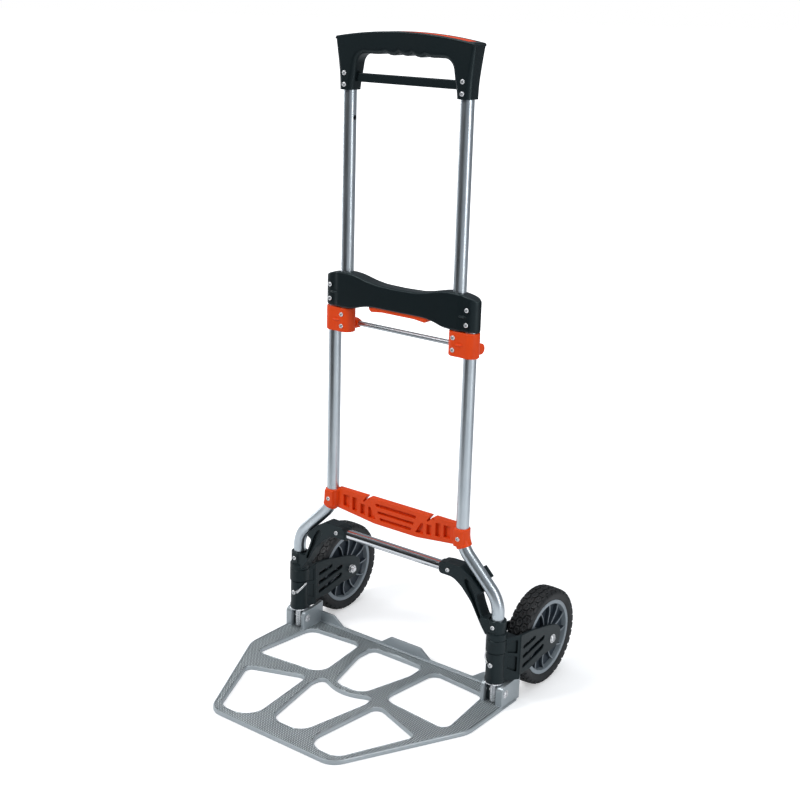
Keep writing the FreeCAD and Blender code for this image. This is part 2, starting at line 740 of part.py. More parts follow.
def slider_screws():
    screws = []
    for side in SIDES.values():
        for height in BLOCK_SCREWS:
            screws.append(screw(f"{side} * dims.upper_tube_x", "-dims.block_radius", height, 3))
    keep(group(screws), "slider_screws")


def slider_rod():
    keep(rod("dims.rod_radius", "2 * dims.rod_half",
             ("-dims.rod_half", "dims.boss_y", "dims.boss_height"), "x"), "slider_rod")


# ---------------------------------------------------------------- toe plate
def toe_plate():
    """Cast plate with weight-saving windows, a rear lip and two hinge lugs on each side."""
    plate = body("plate")
    rim = mirrored([(d.plate_half_width, d.plate_back, 10), (d.plate_half_width, -109.0, 60),
                    (133.0, -d.plate_front, 35)])
    centre_back = mirrored([(57.0, 19.0, 14), (59.0, -21.0, 50), (31.0, -125.0, 26)])
    centre_front = mirrored([(0.0, -148.0, 80), (56.0, -124.0, 9), (60.0, -150.0, 20),
                             (33.0, -286.0, 28)])
    windows = [centre_back, centre_front]
    for side in SIDES.values():
        side_back = [(84.0, 17.0, 18), (69.0, -115.0, 26), (213.0, -129.0, 15), (198.0, 7.0, 22)]
        side_front = [(79.0, -139.0, 14), (59.0, -309.0, 34), (128.0, -309.0, 26),
                      (188.0, -180.0, 12)]
        windows.append([(side * x, y, r) for x, y, r in side_back])
        windows.append([(side * x, y, r) for x, y, r in side_front])
    loops = [outline(rim)] + [outline(loop) for loop in windows]
    pad(plate, sketch(plate, "XY_Plane", loops), "dims.plate_thick")

    lip_shape = mirrored([
        (0.0, d.lip_high, 0), (34.0, d.lip_high, 4), (57.0, d.lip_low, 8), (148.0, d.lip_low, 8),
        (172.0, d.lip_high, 6), (202.0, d.lip_high, 0), (202.0, 4.0, 0), (0.0, 4.0, 0),
    ])
    lip = front_prism("lip", [outline(lip_shape)], "dims.plate_back", "dims.lip_thick")

    lug_shape = [(-d.lug_front, 4.0, 0), (-d.lug_front, 44.0, 10), (14.0, d.lug_height, 20),
                 (41.0, 48.5, 2), (d.plate_back, 51.0, 1.5), (d.plate_back, 4.0, 0)]
    pieces = [plate, lip]
    tools = []
    for side in SIDES.values():
        inner = "dims.inner_lug_x" if side > 0 else "-dims.inner_lug_x - dims.inner_lug_thick"
        outer = "dims.plate_half_width - dims.outer_lug_thick" if side > 0 else "-dims.plate_half_width"
        pieces.append(prism("inner_lug", "YZ_Plane", [outline(lug_shape)], inner,
                            "dims.inner_lug_thick"))
        pieces.append(prism("outer_lug", "YZ_Plane", [outline(lug_shape)], outer,
                            "dims.outer_lug_thick"))
        tools.append(rod("dims.hinge_radius + dims.slip_gap / 2", 60,
                         (f"{side} * dims.leg_x - 30", 0, "dims.hinge_height"), "x"))
    keep(cut_all(fuse(pieces), tools), "toe_plate")


def hinge_pins():
    """Headed pin through both lugs and the leg pin between them."""
    for name, side in SIDES.items():
        low = "dims.inner_lug_x - dims.hinge_head" if side > 0 else "-dims.plate_half_width - dims.hinge_head"
        length = "dims.plate_half_width - dims.inner_lug_x"
        base = f"{low} + dims.hinge_head"
        shank = rod("dims.hinge_radius", length, (base, 0, "dims.hinge_height"), "x")
        near = rod("dims.hinge_head_radius", "dims.hinge_head", (low, 0, "dims.hinge_height"), "x")
        far = rod("dims.hinge_head_radius", "dims.hinge_head",
                  (f"{base} + {length}", 0, "dims.hinge_height"), "x")
        keep(fuse([near, shank, far]), f"{name}_hinge_pin")


# ---------------------------------------------------------------- forks
FORK_SCREW_HEIGHT = 77.0


def fork_arm(side, x_low, x_high):
    """One cheek of a fork, drawn in Y and Z, between two planes of X."""
    shape = [(20.0, 60.0, 2), (20.0, 133.5, 4), (114.0, 119.0, 26), (158.0, 99.0, 24),
             (156.0, 71.0, 12), (124.0, 63.5, 20), (66.0, 57.5, 10)]
    low, high = sorted((side * x_low, side * x_high))
    return prism("fork_arm", "YZ_Plane", [outline(shape)], low, high - low)


def forks():
    """Moulded fork on each leg: sleeve, yoke and two cheeks round the wheel."""
    for name, side in SIDES.items():
        x = f"{side} * dims.leg_x"
        wheel_x = d.leg_x + d.wheel_offset
        outer, inner = wheel_x + d.arm_outer, wheel_x - d.arm_outer
        sleeve = rod("dims.sleeve_radius", "dims.sleeve_top - dims.sleeve_base",
                     (x, 0, "dims.sleeve_base"))
        band = rod("dims.sleeve_radius + 1.7", 23, (x, 0, "dims.sleeve_top - 23"))
        foot = rod("dims.sleeve_radius + 0.9", 7, (x, 0, "dims.sleeve_base"))
        plan = [(d.leg_x - 15.0, 2.0, 0), (d.leg_x + 15.0, 2.0, 0), (outer, 24.0, 2),
                (outer, 34.0, 0), (inner, 34.0, 0), (inner, 24.0, 2)]
        yoke = prism("yoke", "XY_Plane", [outline([(side * px, py, r) for px, py, r in plan])],
                     "60", "66")
        cheeks = [fork_arm(side, outer - d.arm_thick, outer),
                  fork_arm(side, inner, inner + d.arm_thick)]
        solid = fuse([sleeve, band, foot, yoke] + cheeks)
        tools = [rod("dims.tube_radius + dims.slip_gap", 100, (x, 0, "dims.sleeve_base - 5"))]
        tyre_room = rod("dims.tyre_radius + 2.5", 2 * (d.arm_outer - d.arm_thick),
                        (f"{side * wheel_x} - {d.arm_outer - d.arm_thick}", "dims.hub_y",
                         "dims.tyre_radius"), "x")
        axle = rod("dims.axle_radius + dims.slip_gap / 2", 80,
                   (f"{side * wheel_x} - 40", "dims.hub_y", "dims.tyre_radius"), "x")
        hole = screw_hole(x, "-dims.sleeve_radius", FORK_SCREW_HEIGHT, 4)
        solid = cut_all(solid, tools + [tyre_room, axle, hole, slanted_link(side, 0.05)])
        slots = [[(33.0, 104.5, 1.5), (74.0, 111.0, 1.5), (74.0, 115.0, 1.5), (33.0, 108.5, 1.5)],
                 [(33.0, 85.0, 1.5), (104.0, 99.5, 1.5), (104.0, 104.0, 1.5), (33.0, 89.5, 1.5)],
                 [(33.0, 66.0, 1.5), (104.0, 83.5, 1.5), (104.0, 88.0, 1.5), (33.0, 70.5, 1.5)]]
        low = min(side * inner, side * outer)
        windows = prism("cheek_slots", "YZ_Plane", [outline(slot) for slot in slots], low - 1,
                        2 * d.arm_outer + 2)
        keep(cut(solid, windows), f"{name}_fork")


def fork_screws():
    for name, side in SIDES.items():
        keep(screw(f"{side} * dims.leg_x", "-dims.sleeve_radius", FORK_SCREW_HEIGHT, 3.5),
             f"{name}_fork_screw")


def slanted_link(side, gap):
    """Rod that lies across the front of a sleeve, half sunk in it."""
    link = doc.addObject("Part::Cylinder", "link")
    link.setExpression("Radius", f"dims.link_radius + {gap}")
    link.setExpression("Height", f"dims.link_length + {gap}")
    start = Vector(side * (d.leg_x + 4.0), -d.sleeve_radius - 0.4, 87.0)
    along = Vector(-side * 13.0, 0, 9.5)
    link.Placement = Placement(start, Rotation(Vector(0, 0, 1), along))
    return link


def fork_links():
    """Short steel link across the front of each sleeve."""
    for name, side in SIDES.items():
        keep(slanted_link(side, 0), f"{name}_fork_link")


# ---------------------------------------------------------------- wheels
def axle_parts():
    for name, side in SIDES.items():
        wheel_x = side * (d.leg_x + d.wheel_offset)
        half = d.arm_outer
        hub = ("dims.hub_y", "dims.tyre_radius")
        shank = rod("dims.axle_radius", 2 * half + 9, (wheel_x - half - (9 if side > 0 else 0), *hub), "x")
        head_x = wheel_x + (half if side > 0 else -half - 4)
        head = rod(8.5, 4, (head_x, *hub), "x")
        keep(fuse([shank, head]), f"{name}_axle_bolt")

        nut = doc.addObject("Part::Prism", "nut")
        nut.Polygon = 6
        nut.Circumradius = 8.6
        nut.Height = 6.0
        nut_x = wheel_x + (-half - 6 if side > 0 else half)
        place(nut, (nut_x, *hub), turned("x"))
        bore = rod("dims.axle_radius + dims.slip_gap / 2", 6, (nut_x, *hub), "x")
        keep(cut(nut, bore), f"{name}_axle_nut")

        spacers = []
        reach = half - d.arm_thick
        thick = reach - d.hub_half - 0.2
        for start in (wheel_x - reach, wheel_x + reach - thick):
            disc = rod(9, thick, (start, *hub), "x")
            hole = rod("dims.axle_radius + dims.slip_gap / 2", thick, (start, *hub), "x")
            spacers.append(cut(disc, hole))
        keep(group(spacers), f"{name}_axle_washers")

        sleeve = rod("dims.bush_radius", "2 * dims.hub_half", (f"{wheel_x} - dims.hub_half", *hub), "x")
        bore = rod("dims.axle_radius + dims.slip_gap", "2 * dims.hub_half",
                   (f"{wheel_x} - dims.hub_half", *hub), "x")
        keep(cut(sleeve, bore), f"{name}_wheel_bush")


def wheel_ring(label, profile, wheel_x):
    """Solid of revolution about the axle, from (x across, radius, corner) points."""
    owner = body(label)
    shape = outline([(wheel_x + across, radius, corner) for across, radius, corner in profile])
    section = sketch(owner, "XZ_Plane", [shape])
    turn = owner.newObject("PartDesign::Revolution", "turn")
    turn.Profile = section
    turn.ReferenceAxis = (section, ["H_Axis"])
    turn.Angle = 360
    place(owner, (0, "dims.hub_y", "dims.tyre_radius"))
    doc.recompute()
    return owner


def tyres():
    for name, side in SIDES.items():
        wheel_x = side * (d.leg_x + d.wheel_offset)
        half, outer, seat = d.tyre_half, d.tyre_radius, d.rim_radius
        section = [(-half + 4, outer, 5), (half - 4, outer, 5), (half, outer - 9, 8),
                   (half - 1.5, seat + 0.2, 1), (-half + 1.5, seat + 0.2, 1), (-half, outer - 9, 8)]
        keep(wheel_ring("tyre", section, wheel_x), f"{name}_tyre")


def rims():
    """Moulded rim: hub, web disc, rim band and spokes."""
    for name, side in SIDES.items():
        wheel_x = side * (d.leg_x + d.wheel_offset)
        band, seat, hub, wide = d.rim_half, d.rim_radius, d.hub_radius, d.hub_half
        bore = d.bush_radius + d.slip_gap / 2
        section = [(-band, seat, 1), (band, seat, 1), (band, seat - 7, 1), (2.5, seat - 10, 3),
                   (2.5, hub + 3, 3), (wide, hub, 1), (wide, bore, 0), (-wide, bore, 0),
                   (-wide, hub, 1), (-2.5, hub + 3, 3), (-2.5, seat - 10, 3), (-band, seat - 7, 1)]
        wheel = wheel_ring("wheel_rim", section, wheel_x)
        spokes = []
        count = 12
        for i in range(count):
            spoke = block((2 * d.rim_half - 8, "dims.spoke_thick", d.rim_radius - d.hub_radius - 6),
                          (0, 0, 0))
            angle = 360 / count * i
            turn = Rotation(Vector(1, 0, 0), angle)
            corner = Vector(wheel_x - d.rim_half + 4, -d.spoke_thick / 2, d.hub_radius - 0.5)
            centre = Vector(0, d.hub_y, d.tyre_radius)
            spoke.Placement = Placement(centre + turn.multVec(corner), turn)
            for letter in "xyz":
                spoke.setExpression("Placement.Base." + letter, None)
            spokes.append(spoke)
        keep(fuse([wheel] + spokes), f"{name}_rim")


# ---------------------------------------------------------------- build, check and export
for build in (
    lower_tubes, leg_pins, leg_guards, leg_washers, corner_brackets, corner_bracket_screws, crossbar,
    lower_crossmember, crossmember_screws, bracket_covers, bracket_screws, release_trigger,
    latch_pins, latch_springs, upper_tubes, handle_grip, grip_insert, handle_crossbar,
    handle_screws, slider_blocks, slider_screws, slider_rod, toe_plate, hinge_pins, forks,
    fork_screws, fork_links, axle_parts, tyres, rims,
):
    build()
doc.recompute()

for obj in doc.Objects:
    if "Invalid" in obj.State or "Error" in obj.State:
        raise RuntimeError(f"{obj.Label} ({obj.Name}) failed: {obj.State}")

os.makedirs("parts", exist_ok=True)
for obj in SUBPARTS:
    shape = obj.Shape
    if shape.isNull() or not shape.isValid() or shape.Volume <= 0:
        raise RuntimeError(f"{obj.Label} has no valid shape")
    shape.exportStep(f"parts/{obj.Label}.step")
    print(f"{obj.Label}: {len(shape.Solids)} solid(s), {shape.Volume / 1000:.2f} cm3")
print(len(SUBPARTS), "sub-parts")
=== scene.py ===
import json
from math import cos, hypot, pi, radians, sin, sqrt, tan

import bmesh
import bpy
import numpy as np
from mathutils import Matrix, Vector
from mathutils.geometry import delaunay_2d_cdt
from mathutils.kdtree import KDTree


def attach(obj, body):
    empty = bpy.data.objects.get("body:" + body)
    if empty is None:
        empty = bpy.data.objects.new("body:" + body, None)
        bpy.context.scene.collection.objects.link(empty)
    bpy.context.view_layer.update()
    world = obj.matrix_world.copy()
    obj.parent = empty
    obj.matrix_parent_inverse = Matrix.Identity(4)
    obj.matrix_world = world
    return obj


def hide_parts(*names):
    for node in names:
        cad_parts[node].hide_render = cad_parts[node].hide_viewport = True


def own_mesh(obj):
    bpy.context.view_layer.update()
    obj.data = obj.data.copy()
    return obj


# Folding luggage cart: the look of each part. Sizes are in millimetres until a piece is made.

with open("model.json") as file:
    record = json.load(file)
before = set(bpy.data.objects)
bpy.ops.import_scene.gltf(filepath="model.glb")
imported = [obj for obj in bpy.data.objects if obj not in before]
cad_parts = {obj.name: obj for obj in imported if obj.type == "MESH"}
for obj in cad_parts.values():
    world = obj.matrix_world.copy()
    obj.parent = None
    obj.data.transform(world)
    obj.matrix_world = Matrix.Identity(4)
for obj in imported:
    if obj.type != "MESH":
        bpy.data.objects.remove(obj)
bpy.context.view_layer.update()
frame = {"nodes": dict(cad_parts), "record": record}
node_slots = {part["node"]: part["material_slot"] for part in frame["record"]["subparts"]}

MM = 0.001
SIDES = ((-1, "left"), (1, "right"))
BOTH = (-1, 1)
TUBE = 11.0                                     # radius of every tube
LEG_X, LOWER_X, UPPER_X = 222.3, 142.8, 117.6   # centre lines: legs, fixed tubes, sliding tubes
WHEEL_X, HUB_Y, HUB_Z = 229.3, 130.0, 87.5      # middle of the right wheel
CHEEK = 4.5                                     # thickness of a fork cheek
CHEEK_OUT, CHEEK_IN = WHEEL_X + 27.0, WHEEL_X - 27.0
CROSSBAR_Z, SLIDER_ROD_Z, LATCH_Z, HINGE_Z = 227.5, 617.0, 681.0, 29.0
SLIDER_ROD_Y = 22.0


# ---- shape building
class Shape:
    """Points and faces of one piece while it is put together."""

    def __init__(self):
        self.points, self.faces, self.slots = [], [], []

    def add(self, points, faces, slot=0):
        """Add faces, numbered from the first of these points."""
        base = len(self.points)
        self.points.extend(tuple(p) for p in points)
        self.faces.extend(tuple(base + i for i in face) for face in faces)
        self.slots.extend([slot] * len(faces))

    def merge(self, other, move):
        """Add another shape, moved."""
        base = len(self.points)
        self.points.extend(tuple(move @ Vector(p)) for p in other.points)
        self.faces.extend(tuple(base + i for i in face) for face in other.faces)
        self.slots.extend(other.slots)
        return self

    def mirrored(self):
        """Copy mirrored in x."""
        twin = Shape()
        twin.points = [(-x, y, z) for x, y, z in self.points]
        twin.faces = [tuple(reversed(face)) for face in self.faces]
        twin.slots = list(self.slots)
        return twin


def plane(origin, u, v):
    """Drawing plane: its origin, two axes and normal."""
    u, v = Vector(u).normalized(), Vector(v).normalized()
    return Vector(origin), u, v, u.cross(v)


XZ = plane((0, 0, 0), (1, 0, 0), (0, 0, 1))
YZ = plane((0, 0, 0), (0, 1, 0), (0, 0, 1))
XY = plane((0, 0, 0), (1, 0, 0), (0, 1, 0))


def in_plane(axes, u, v, n):
    """Point at u and v in a drawing plane, n along its normal."""
    origin, along, up, normal = axes
    return origin + along * u + up * v + normal * n


def rounded(corners, steps=6):
    """Closed outline through (x, y, radius) corners, as points."""
    points = []
    count = len(corners)
    for i, (x, y, radius) in enumerate(corners):
        here = Vector((x, y))
        before = (Vector(corners[i - 1][:2]) - here).normalized()
        after = (Vector(corners[(i + 1) % count][:2]) - here).normalized()
        if radius == 0:
            points.append(here)
            continue
        half = before.angle(after) / 2
        middle = (before + after).normalized()
        centre = here + middle * (radius / sin(half))
        first = here + before * (radius / tan(half)) - centre
        last = here + after * (radius / tan(half)) - centre
        sweep = first.angle_signed(last)
        for k in range(steps + 1):
            turn = Matrix.Rotation(-sweep * k / steps, 2)
            points.append(centre + turn @ first)
    return points


def mirror_corners(points):
    """Complete a half outline of (x, y, radius) corners with its mirror image in x."""
    return [(-x, y, r) for x, y, r in reversed(points) if x != 0] + list(points)


def flip_x(corners, side):
    """Corners of the right side, mirrored where side is -1."""
    return [(side * x, y, r) for x, y, r in corners]


def quarter(steps):
    """Sine and cosine at even steps of a quarter turn."""
    angles = [pi / 2 * k / steps for k in range(steps + 1)]
    return [(sin(angle), cos(angle)) for angle in angles]


def ellipse(centre, across, up, wide, high, segments):
    """Ring of points with its half axes, wide and high, along two directions."""
    angles = [2 * pi * k / segments for k in range(segments)]
    return [centre + across * (wide * cos(a)) + up * (high * sin(a)) for a in angles]


def bands(count, rings, closed=False):
    """Faces between rings of count points; closed joins the last ring to the first."""
    faces = []
    for level in range(rings if closed else rings - 1):
        a, b = level * count, (level + 1) % rings * count
        for i in range(count):
            j = (i + 1) % count
            faces.append((a + i, a + j, b + j, b + i))
    return faces


def area(loop):
    """Area of a loop, negative when it runs clockwise."""
    return sum(a[0] * b[1] - b[0] * a[1] for a, b in zip(loop, loop[1:] + loop[:1])) / 2


def oriented(loops):
    """The rim turned counter-clockwise and its holes clockwise."""
    turned_loops = []
    for i, loop in enumerate(loops):
        loop = [Vector(p[:2]) for p in loop]
        if (area(loop) > 0) != (i == 0):
            loop.reverse()
        turned_loops.append(loop)
    return turned_loops


def offsets(loop):
    """Direction in which each point of a loop moves when the loop is inset by one."""
    array = np.array([tuple(p) for p in loop])
    ahead = np.roll(array, -1, axis=0) - array
    ahead /= np.linalg.norm(ahead, axis=1, keepdims=True)
    left = np.stack([-ahead[:, 1], ahead[:, 0]], axis=1)
    before = np.roll(left, 1, axis=0)
    total = left + before
    scale = np.maximum((total * left).sum(axis=1, keepdims=True), 0.35)
    return total / scale


def inside(loops, points):
    """Which points lie inside the outline and outside its holes."""
    hits = np.zeros(len(points), int)
    x, y = points[:, 0], points[:, 1]
    for loop in loops:
        for a, b in zip(loop, np.roll(loop, -1, axis=0)):
            if a[1] == b[1]:
                continue
            crosses = (y < a[1]) != (y < b[1])
            hits += crosses & (x < a[0] + (y - a[1]) * (b[0] - a[0]) / (b[1] - a[1]))
    return hits % 2 == 1


def fill(loops, extra=()):
    """Triangles across a flat region with holes; extra points may be added inside it."""
    coords, edges = [], []
    for loop in loops:
        base = len(coords)
        coords.extend(Vector(p) for p in loop)
        edges.extend((base + i, base + (i + 1) % len(loop)) for i in range(len(loop)))
    coords.extend(Vector(p) for p in extra)
    result = delaunay_2d_cdt(coords, edges, [], 0, 1e-7)
    points, faces = result[0], result[2]
    array = np.array([tuple(p) for p in points])
    middles = np.array([array[list(face)].mean(axis=0) for face in faces])
    shown = inside([np.array([tuple(p) for p in loop]) for loop in loops], middles)
    kept = []
    for face, good in zip(faces, shown):
        if not good:
            continue
        a, b, c = (array[i] for i in face)
        turn = (b[0] - a[0]) * (c[1] - a[1]) - (b[1] - a[1]) * (c[0] - a[0])
        kept.append(face if turn > 0 else tuple(reversed(face)))
    return array, kept


def plate(shape, loops, low, high, bevel, axes=XZ, steps=3, top=True, foot=None):
    """Slab between two heights of a plane with rounded edges. The first loop is the rim.

    The bevel may be one radius or a function of a point of the outline. Edges at the
    height given by foot stay level, so that the slab has a flat, sharp-edged foot."""
    flat_loops = []
    for loop in oriented(loops):
        points = np.array([tuple(p) for p in loop])
        inward = offsets(loop)
        if foot is not None:
            inward[np.abs(points[:, 1] - foot) < 0.1, 1] = 0.0
        radius = np.array([bevel(*p) if callable(bevel) else bevel for p in points])
        rings = [(1 - s, low + radius * (1 - c)) for s, c in quarter(steps)]
        rings += [(1 - c, high - radius * (1 - s)) for s, c in quarter(steps)]
        mesh = []
        for inset, heights in rings:
            ring = points + inward * (inset * radius)[:, None]
            mesh.extend(in_plane(axes, u, v, n) for (u, v), n in zip(ring, heights))
        shape.add(mesh, bands(len(points), len(rings)))
        flat_loops.append([tuple(p) for p in points + inward * radius[:, None]])
    flat, triangles = fill(flat_loops)
    if top:
        shape.add([in_plane(axes, u, v, high) for u, v in flat], triangles)
    shape.add([in_plane(axes, u, v, low) for u, v in flat], [tuple(reversed(t)) for t in triangles])


def loft(shape, rings, slot=0, closed=False, caps=True):
    """Skin over rings of equal length; closed joins the last ring to the first."""
    count = len(rings[0])
    points = [p for ring in rings for p in ring]
    faces = bands(count, len(rings), closed)
    if caps and not closed:
        for base, ring, order in ((0, rings[0], -1), ((len(rings) - 1) * count, rings[-1], 1)):
            points.append(sum((Vector(p) for p in ring), Vector()) / count)
            centre = len(points) - 1
            for i in range(count):
                face = (base + i, base + (i + 1) % count, centre)
                faces.append(face if order > 0 else tuple(reversed(face)))
    shape.add(points, faces, slot)


def turned(origin, axis, rings):
    """Place rings of (radius, height) points round an axis."""
    axis = Vector(axis).normalized()
    side = axis.orthogonal().normalized()
    other = axis.cross(side)
    placed = []
    for ring in rings:
        points = []
        for k, (radius, height) in enumerate(ring):
            angle = 2 * pi * k / len(ring)
            out = side * cos(angle) + other * sin(angle)
            points.append(Vector(origin) + axis * height + out * radius)
        placed.append(points)
    return placed


def lathe(shape, profile, origin, axis, segments=48, slot=0, closed=False):
    """Turned solid from (radius, height) points; closed makes a ring of the profile."""
    rings = [[(max(radius, 1e-3), height)] * segments for radius, height in profile]
    loft(shape, turned(origin, axis, rings), slot, closed=closed, caps=not closed)


def sweep(shape, path, radii, segments):
    """Round bar along a path in a plane of constant Y, with a radius at each point."""
    rings = []
    for i, point in enumerate(path):
        before, after = path[max(i - 1, 0)], path[min(i + 1, len(path) - 1)]
        along = (after - before).normalized()
        side = along.cross(Vector((0, 1, 0))).normalized()
        up = side.cross(along)
        rings.append(ellipse(point, side, up, radii[i], radii[i], segments))
    loft(shape, rings)


def bump_profile(radius, low, high, bevel, steps=4):
    """Half section of a disc with rounded rims."""
    start = [(radius - bevel * (1 - s), low + bevel * (1 - c)) for s, c in quarter(steps)]
    return start + [(radius - bevel * (1 - c), high - bevel * (1 - s)) for s, c in quarter(steps)]


def disc(shape, radius, low, high, bevel, origin, axis, segments=48):
    """Plain turned disc with rounded rims."""
    lathe(shape, bump_profile(radius, low, high, bevel), origin, axis, segments)


def hex_reach(angle, flat):
    """Distance from the middle of a hexagon to its edge at an angle."""
    return flat / cos((angle + pi / 6) % (pi / 3) - pi / 6)


def socket_head(shape, origin, axis, radius, height, socket=1.9, base=0.0):
    """Round button head with a hexagonal socket."""
    segments = 36
    profile = [(1.0, 0.0), (1.0, 0.25 * height), (0.93, 0.55 * height), (0.8, 0.82 * height), (0.64, height)]
    rings = [[(radius * scale, base + level)] * segments for scale, level in profile]
    for depth, flat in ((height, 1.06 * socket), (height - 0.15, socket), (0.1 * height, socket)):
        rings.append([(hex_reach(2 * pi * k / segments, flat), base + depth) for k in range(segments)])
    loft(shape, turned(origin, axis, rings))


def hexagon(shape, flat, low, high, origin, axis):
    """Hexagonal nut body with chamfered corners."""
    segments = 48
    reaches = [hex_reach(2 * pi * k / segments, flat) for k in range(segments)]
    rings = []
    for level, trim in ((low, 0.94), (low + 0.7, 1.1), (high - 0.7, 1.1), (high, 0.94)):
        rings.append([(min(reach, flat * trim * 1.05), level) for reach in reaches])
    loft(shape, turned(origin, axis, rings))


def lens(x, z, half_length, half_height, face):
    """Rings of a raised lens-shaped rib on a front face at y = face."""
    rings = []
    for i in range(13):
        t = -1 + 2 * i / 12
        size = max(1 - t * t, 0.01)
        centre = Vector((x + half_length * t, face, z))
        rings.append(ellipse(centre, Vector((0, -1, 0)), Vector((0, 0, 1)),
                             3.2 * size, half_height * size, 12))
    return rings


def new_object(name, data):
    """Put data into the scene as an object."""
    obj = bpy.data.objects.new(name, data)
    bpy.context.scene.collection.objects.link(obj)
    return obj


def make(shape, name, materials, body, replaced=None, sharp=32):
    """Turn a shape into a piece that rides on a body and stands for its CAD node."""
    mesh = bpy.data.meshes.new(name)
    mesh.from_pydata([tuple(c * MM for c in p) for p in shape.points], [], shape.faces)
    build = bmesh.new()
    build.from_mesh(mesh)
    layer = build.faces.layers.int.new("slots")
    for face, value in zip(build.faces, shape.slots):
        face[layer] = value
    bmesh.ops.remove_doubles(build, verts=build.verts, dist=2e-6)
    bmesh.ops.dissolve_degenerate(build, edges=build.edges, dist=1e-7)
    bmesh.ops.recalc_face_normals(build, faces=build.faces)
    for face in build.faces:
        face.material_index = face[layer]
        face.smooth = True
    build.to_mesh(mesh)
    build.free()
    mesh.set_sharp_from_angle(angle=radians(sharp))
    for material in materials if isinstance(materials, list) else [materials]:
        mesh.materials.append(material)
    obj = new_object(name, mesh)
    weighted = obj.modifiers.new("weighted_normals", "WEIGHTED_NORMAL")
    weighted.keep_sharp = True
    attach(obj, body)
    if replaced:
        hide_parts(replaced)
    return obj


def make_pair(shape, name, material, body, replaced):
    """Make a right-hand piece and its mirror image on the left."""
    make(shape, f"right_{name}", material, body, f"right_{replaced}")
    make(shape.mirrored(), f"left_{name}", material, body, f"left_{replaced}")


# ---- materials
def new_material(name):
    """Empty material with its nodes, links and shader."""
    mat = bpy.data.materials.new(name)
    mat.use_nodes = True
    nodes = mat.node_tree.nodes
    return mat, nodes, mat.node_tree.links, nodes["Principled BSDF"]


def set_inputs(node, values):
    """Set the inputs of a shader node."""
    for key, value in values.items():
        node.inputs[key].default_value = value
    return node


def add_node(nodes, kind, values):
    """Add a shader node and set its inputs."""
    return set_inputs(nodes.new("ShaderNode" + kind), values)


def noise(nodes, links, vector, scale, detail):
    """Noise between 0 and 1."""
    node = add_node(nodes, "TexNoise", {"Scale": scale, "Detail": detail, "Roughness": 0.55})
    links.new(vector, node.inputs["Vector"])
    return node.outputs["Fac"]


def remap(nodes, links, value, low, high, start=0.3, end=0.7):
    """Value from low to high while the input goes from start to end."""
    node = add_node(nodes, "MapRange", {"From Min": start, "From Max": end, "To Min": low, "To Max": high})
    links.new(value, node.inputs["Value"])
    return node.outputs["Result"]


def tint(nodes, links, value, first, second):
    """Mix of two colours."""
    node = nodes.new("ShaderNodeMix")
    node.data_type = "RGBA"
    set_inputs(node, {"A": (*first, 1), "B": (*second, 1)})
    links.new(value, node.inputs["Factor"])
    return node.outputs["Result"]


def bumped(nodes, links, height, strength, distance, before=None):
    """Normal roughened by a height, on top of another normal."""
    node = add_node(nodes, "Bump", {"Strength": strength, "Distance": distance})
    links.new(height, node.inputs["Height"])
    if before is not None:
        links.new(before, node.inputs["Normal"])
    return node.outputs["Normal"]


def softened(nodes, radius):
    """Normal that eases the edges of a surface."""
    node = add_node(nodes, "Bevel", {"Radius": radius})
    node.samples = 4
    return node.outputs["Normal"]


def place_vector(nodes, links, scale):
    """Place on the object, scaled along its axes."""
    coords = nodes.new("ShaderNodeTexCoord").outputs["Object"]
    mapping = add_node(nodes, "Mapping", {"Scale": scale})
    links.new(coords, mapping.inputs["Vector"])
    return mapping.outputs["Vector"]


def finish_material(name, light, dark, rough, metal=0.0, grain=900.0, grain_depth=0.00006,
                    blotch=14.0, stretch=(1, 1, 1), edge=0.0004, gloss=0.5, strength=0.35):
    """Surface with two close tones in blotches, uneven gloss, fine grain and eased edges."""
    mat, nodes, links, shader = new_material(name)
    vector = place_vector(nodes, links, (1, 1, 1))
    broad = noise(nodes, links, vector, blotch, 4.0)
    links.new(tint(nodes, links, remap(nodes, links, broad, 0, 1), light, dark),
              shader.inputs["Base Color"])
    streaks = place_vector(nodes, links, stretch)
    fine = noise(nodes, links, streaks, grain, 2.0)
    mixed = nodes.new("ShaderNodeMath")
    mixed.operation = "ADD"
    links.new(broad, mixed.inputs[0])
    links.new(fine, mixed.inputs[1])
    links.new(remap(nodes, links, mixed.outputs[0], rough[0], rough[1], 0.7, 1.3),
              shader.inputs["Roughness"])
    before = softened(nodes, edge) if edge else None
    links.new(bumped(nodes, links, fine, strength, grain_depth, before), shader.inputs["Normal"])
    set_inputs(shader, {"Metallic": metal, "Specular IOR Level": gloss})
    return mat


tube_metal = finish_material("satin_tube", (0.66, 0.72, 0.76), (0.56, 0.62, 0.665), (0.27, 0.37), 1.0,
                             grain=420, stretch=(1, 1, 0.02), grain_depth=0.00002, edge=0.0)
chrome = finish_material("bright_chrome", (0.83, 0.85, 0.88), (0.78, 0.80, 0.83), (0.05, 0.11), 1.0,
                         grain=300, stretch=(0.02, 1, 1), grain_depth=0.000004, edge=0.0003)
zinc = finish_material("zinc_steel", (0.86, 0.87, 0.88), (0.72, 0.73, 0.75), (0.20, 0.32), 0.72,
                       grain=900, grain_depth=0.00002, edge=0.0002)
black = finish_material("black_moulding", (0.0068, 0.0125, 0.0150), (0.0042, 0.0078, 0.0095), (0.32, 0.45),
                        grain=1500, grain_depth=0.00005, blotch=9, edge=0.0006, gloss=0.36, strength=0.3)
set_inputs(black.node_tree.nodes["Principled BSDF"], {"Specular Tint": (0.78, 0.96, 1.0, 1)})
orange = finish_material("orange_moulding", (0.84, 0.070, 0.004), (0.74, 0.056, 0.003), (0.36, 0.48),
                         grain=1200, grain_depth=0.00003, blotch=11, edge=0.0005, gloss=0.25, strength=0.25)
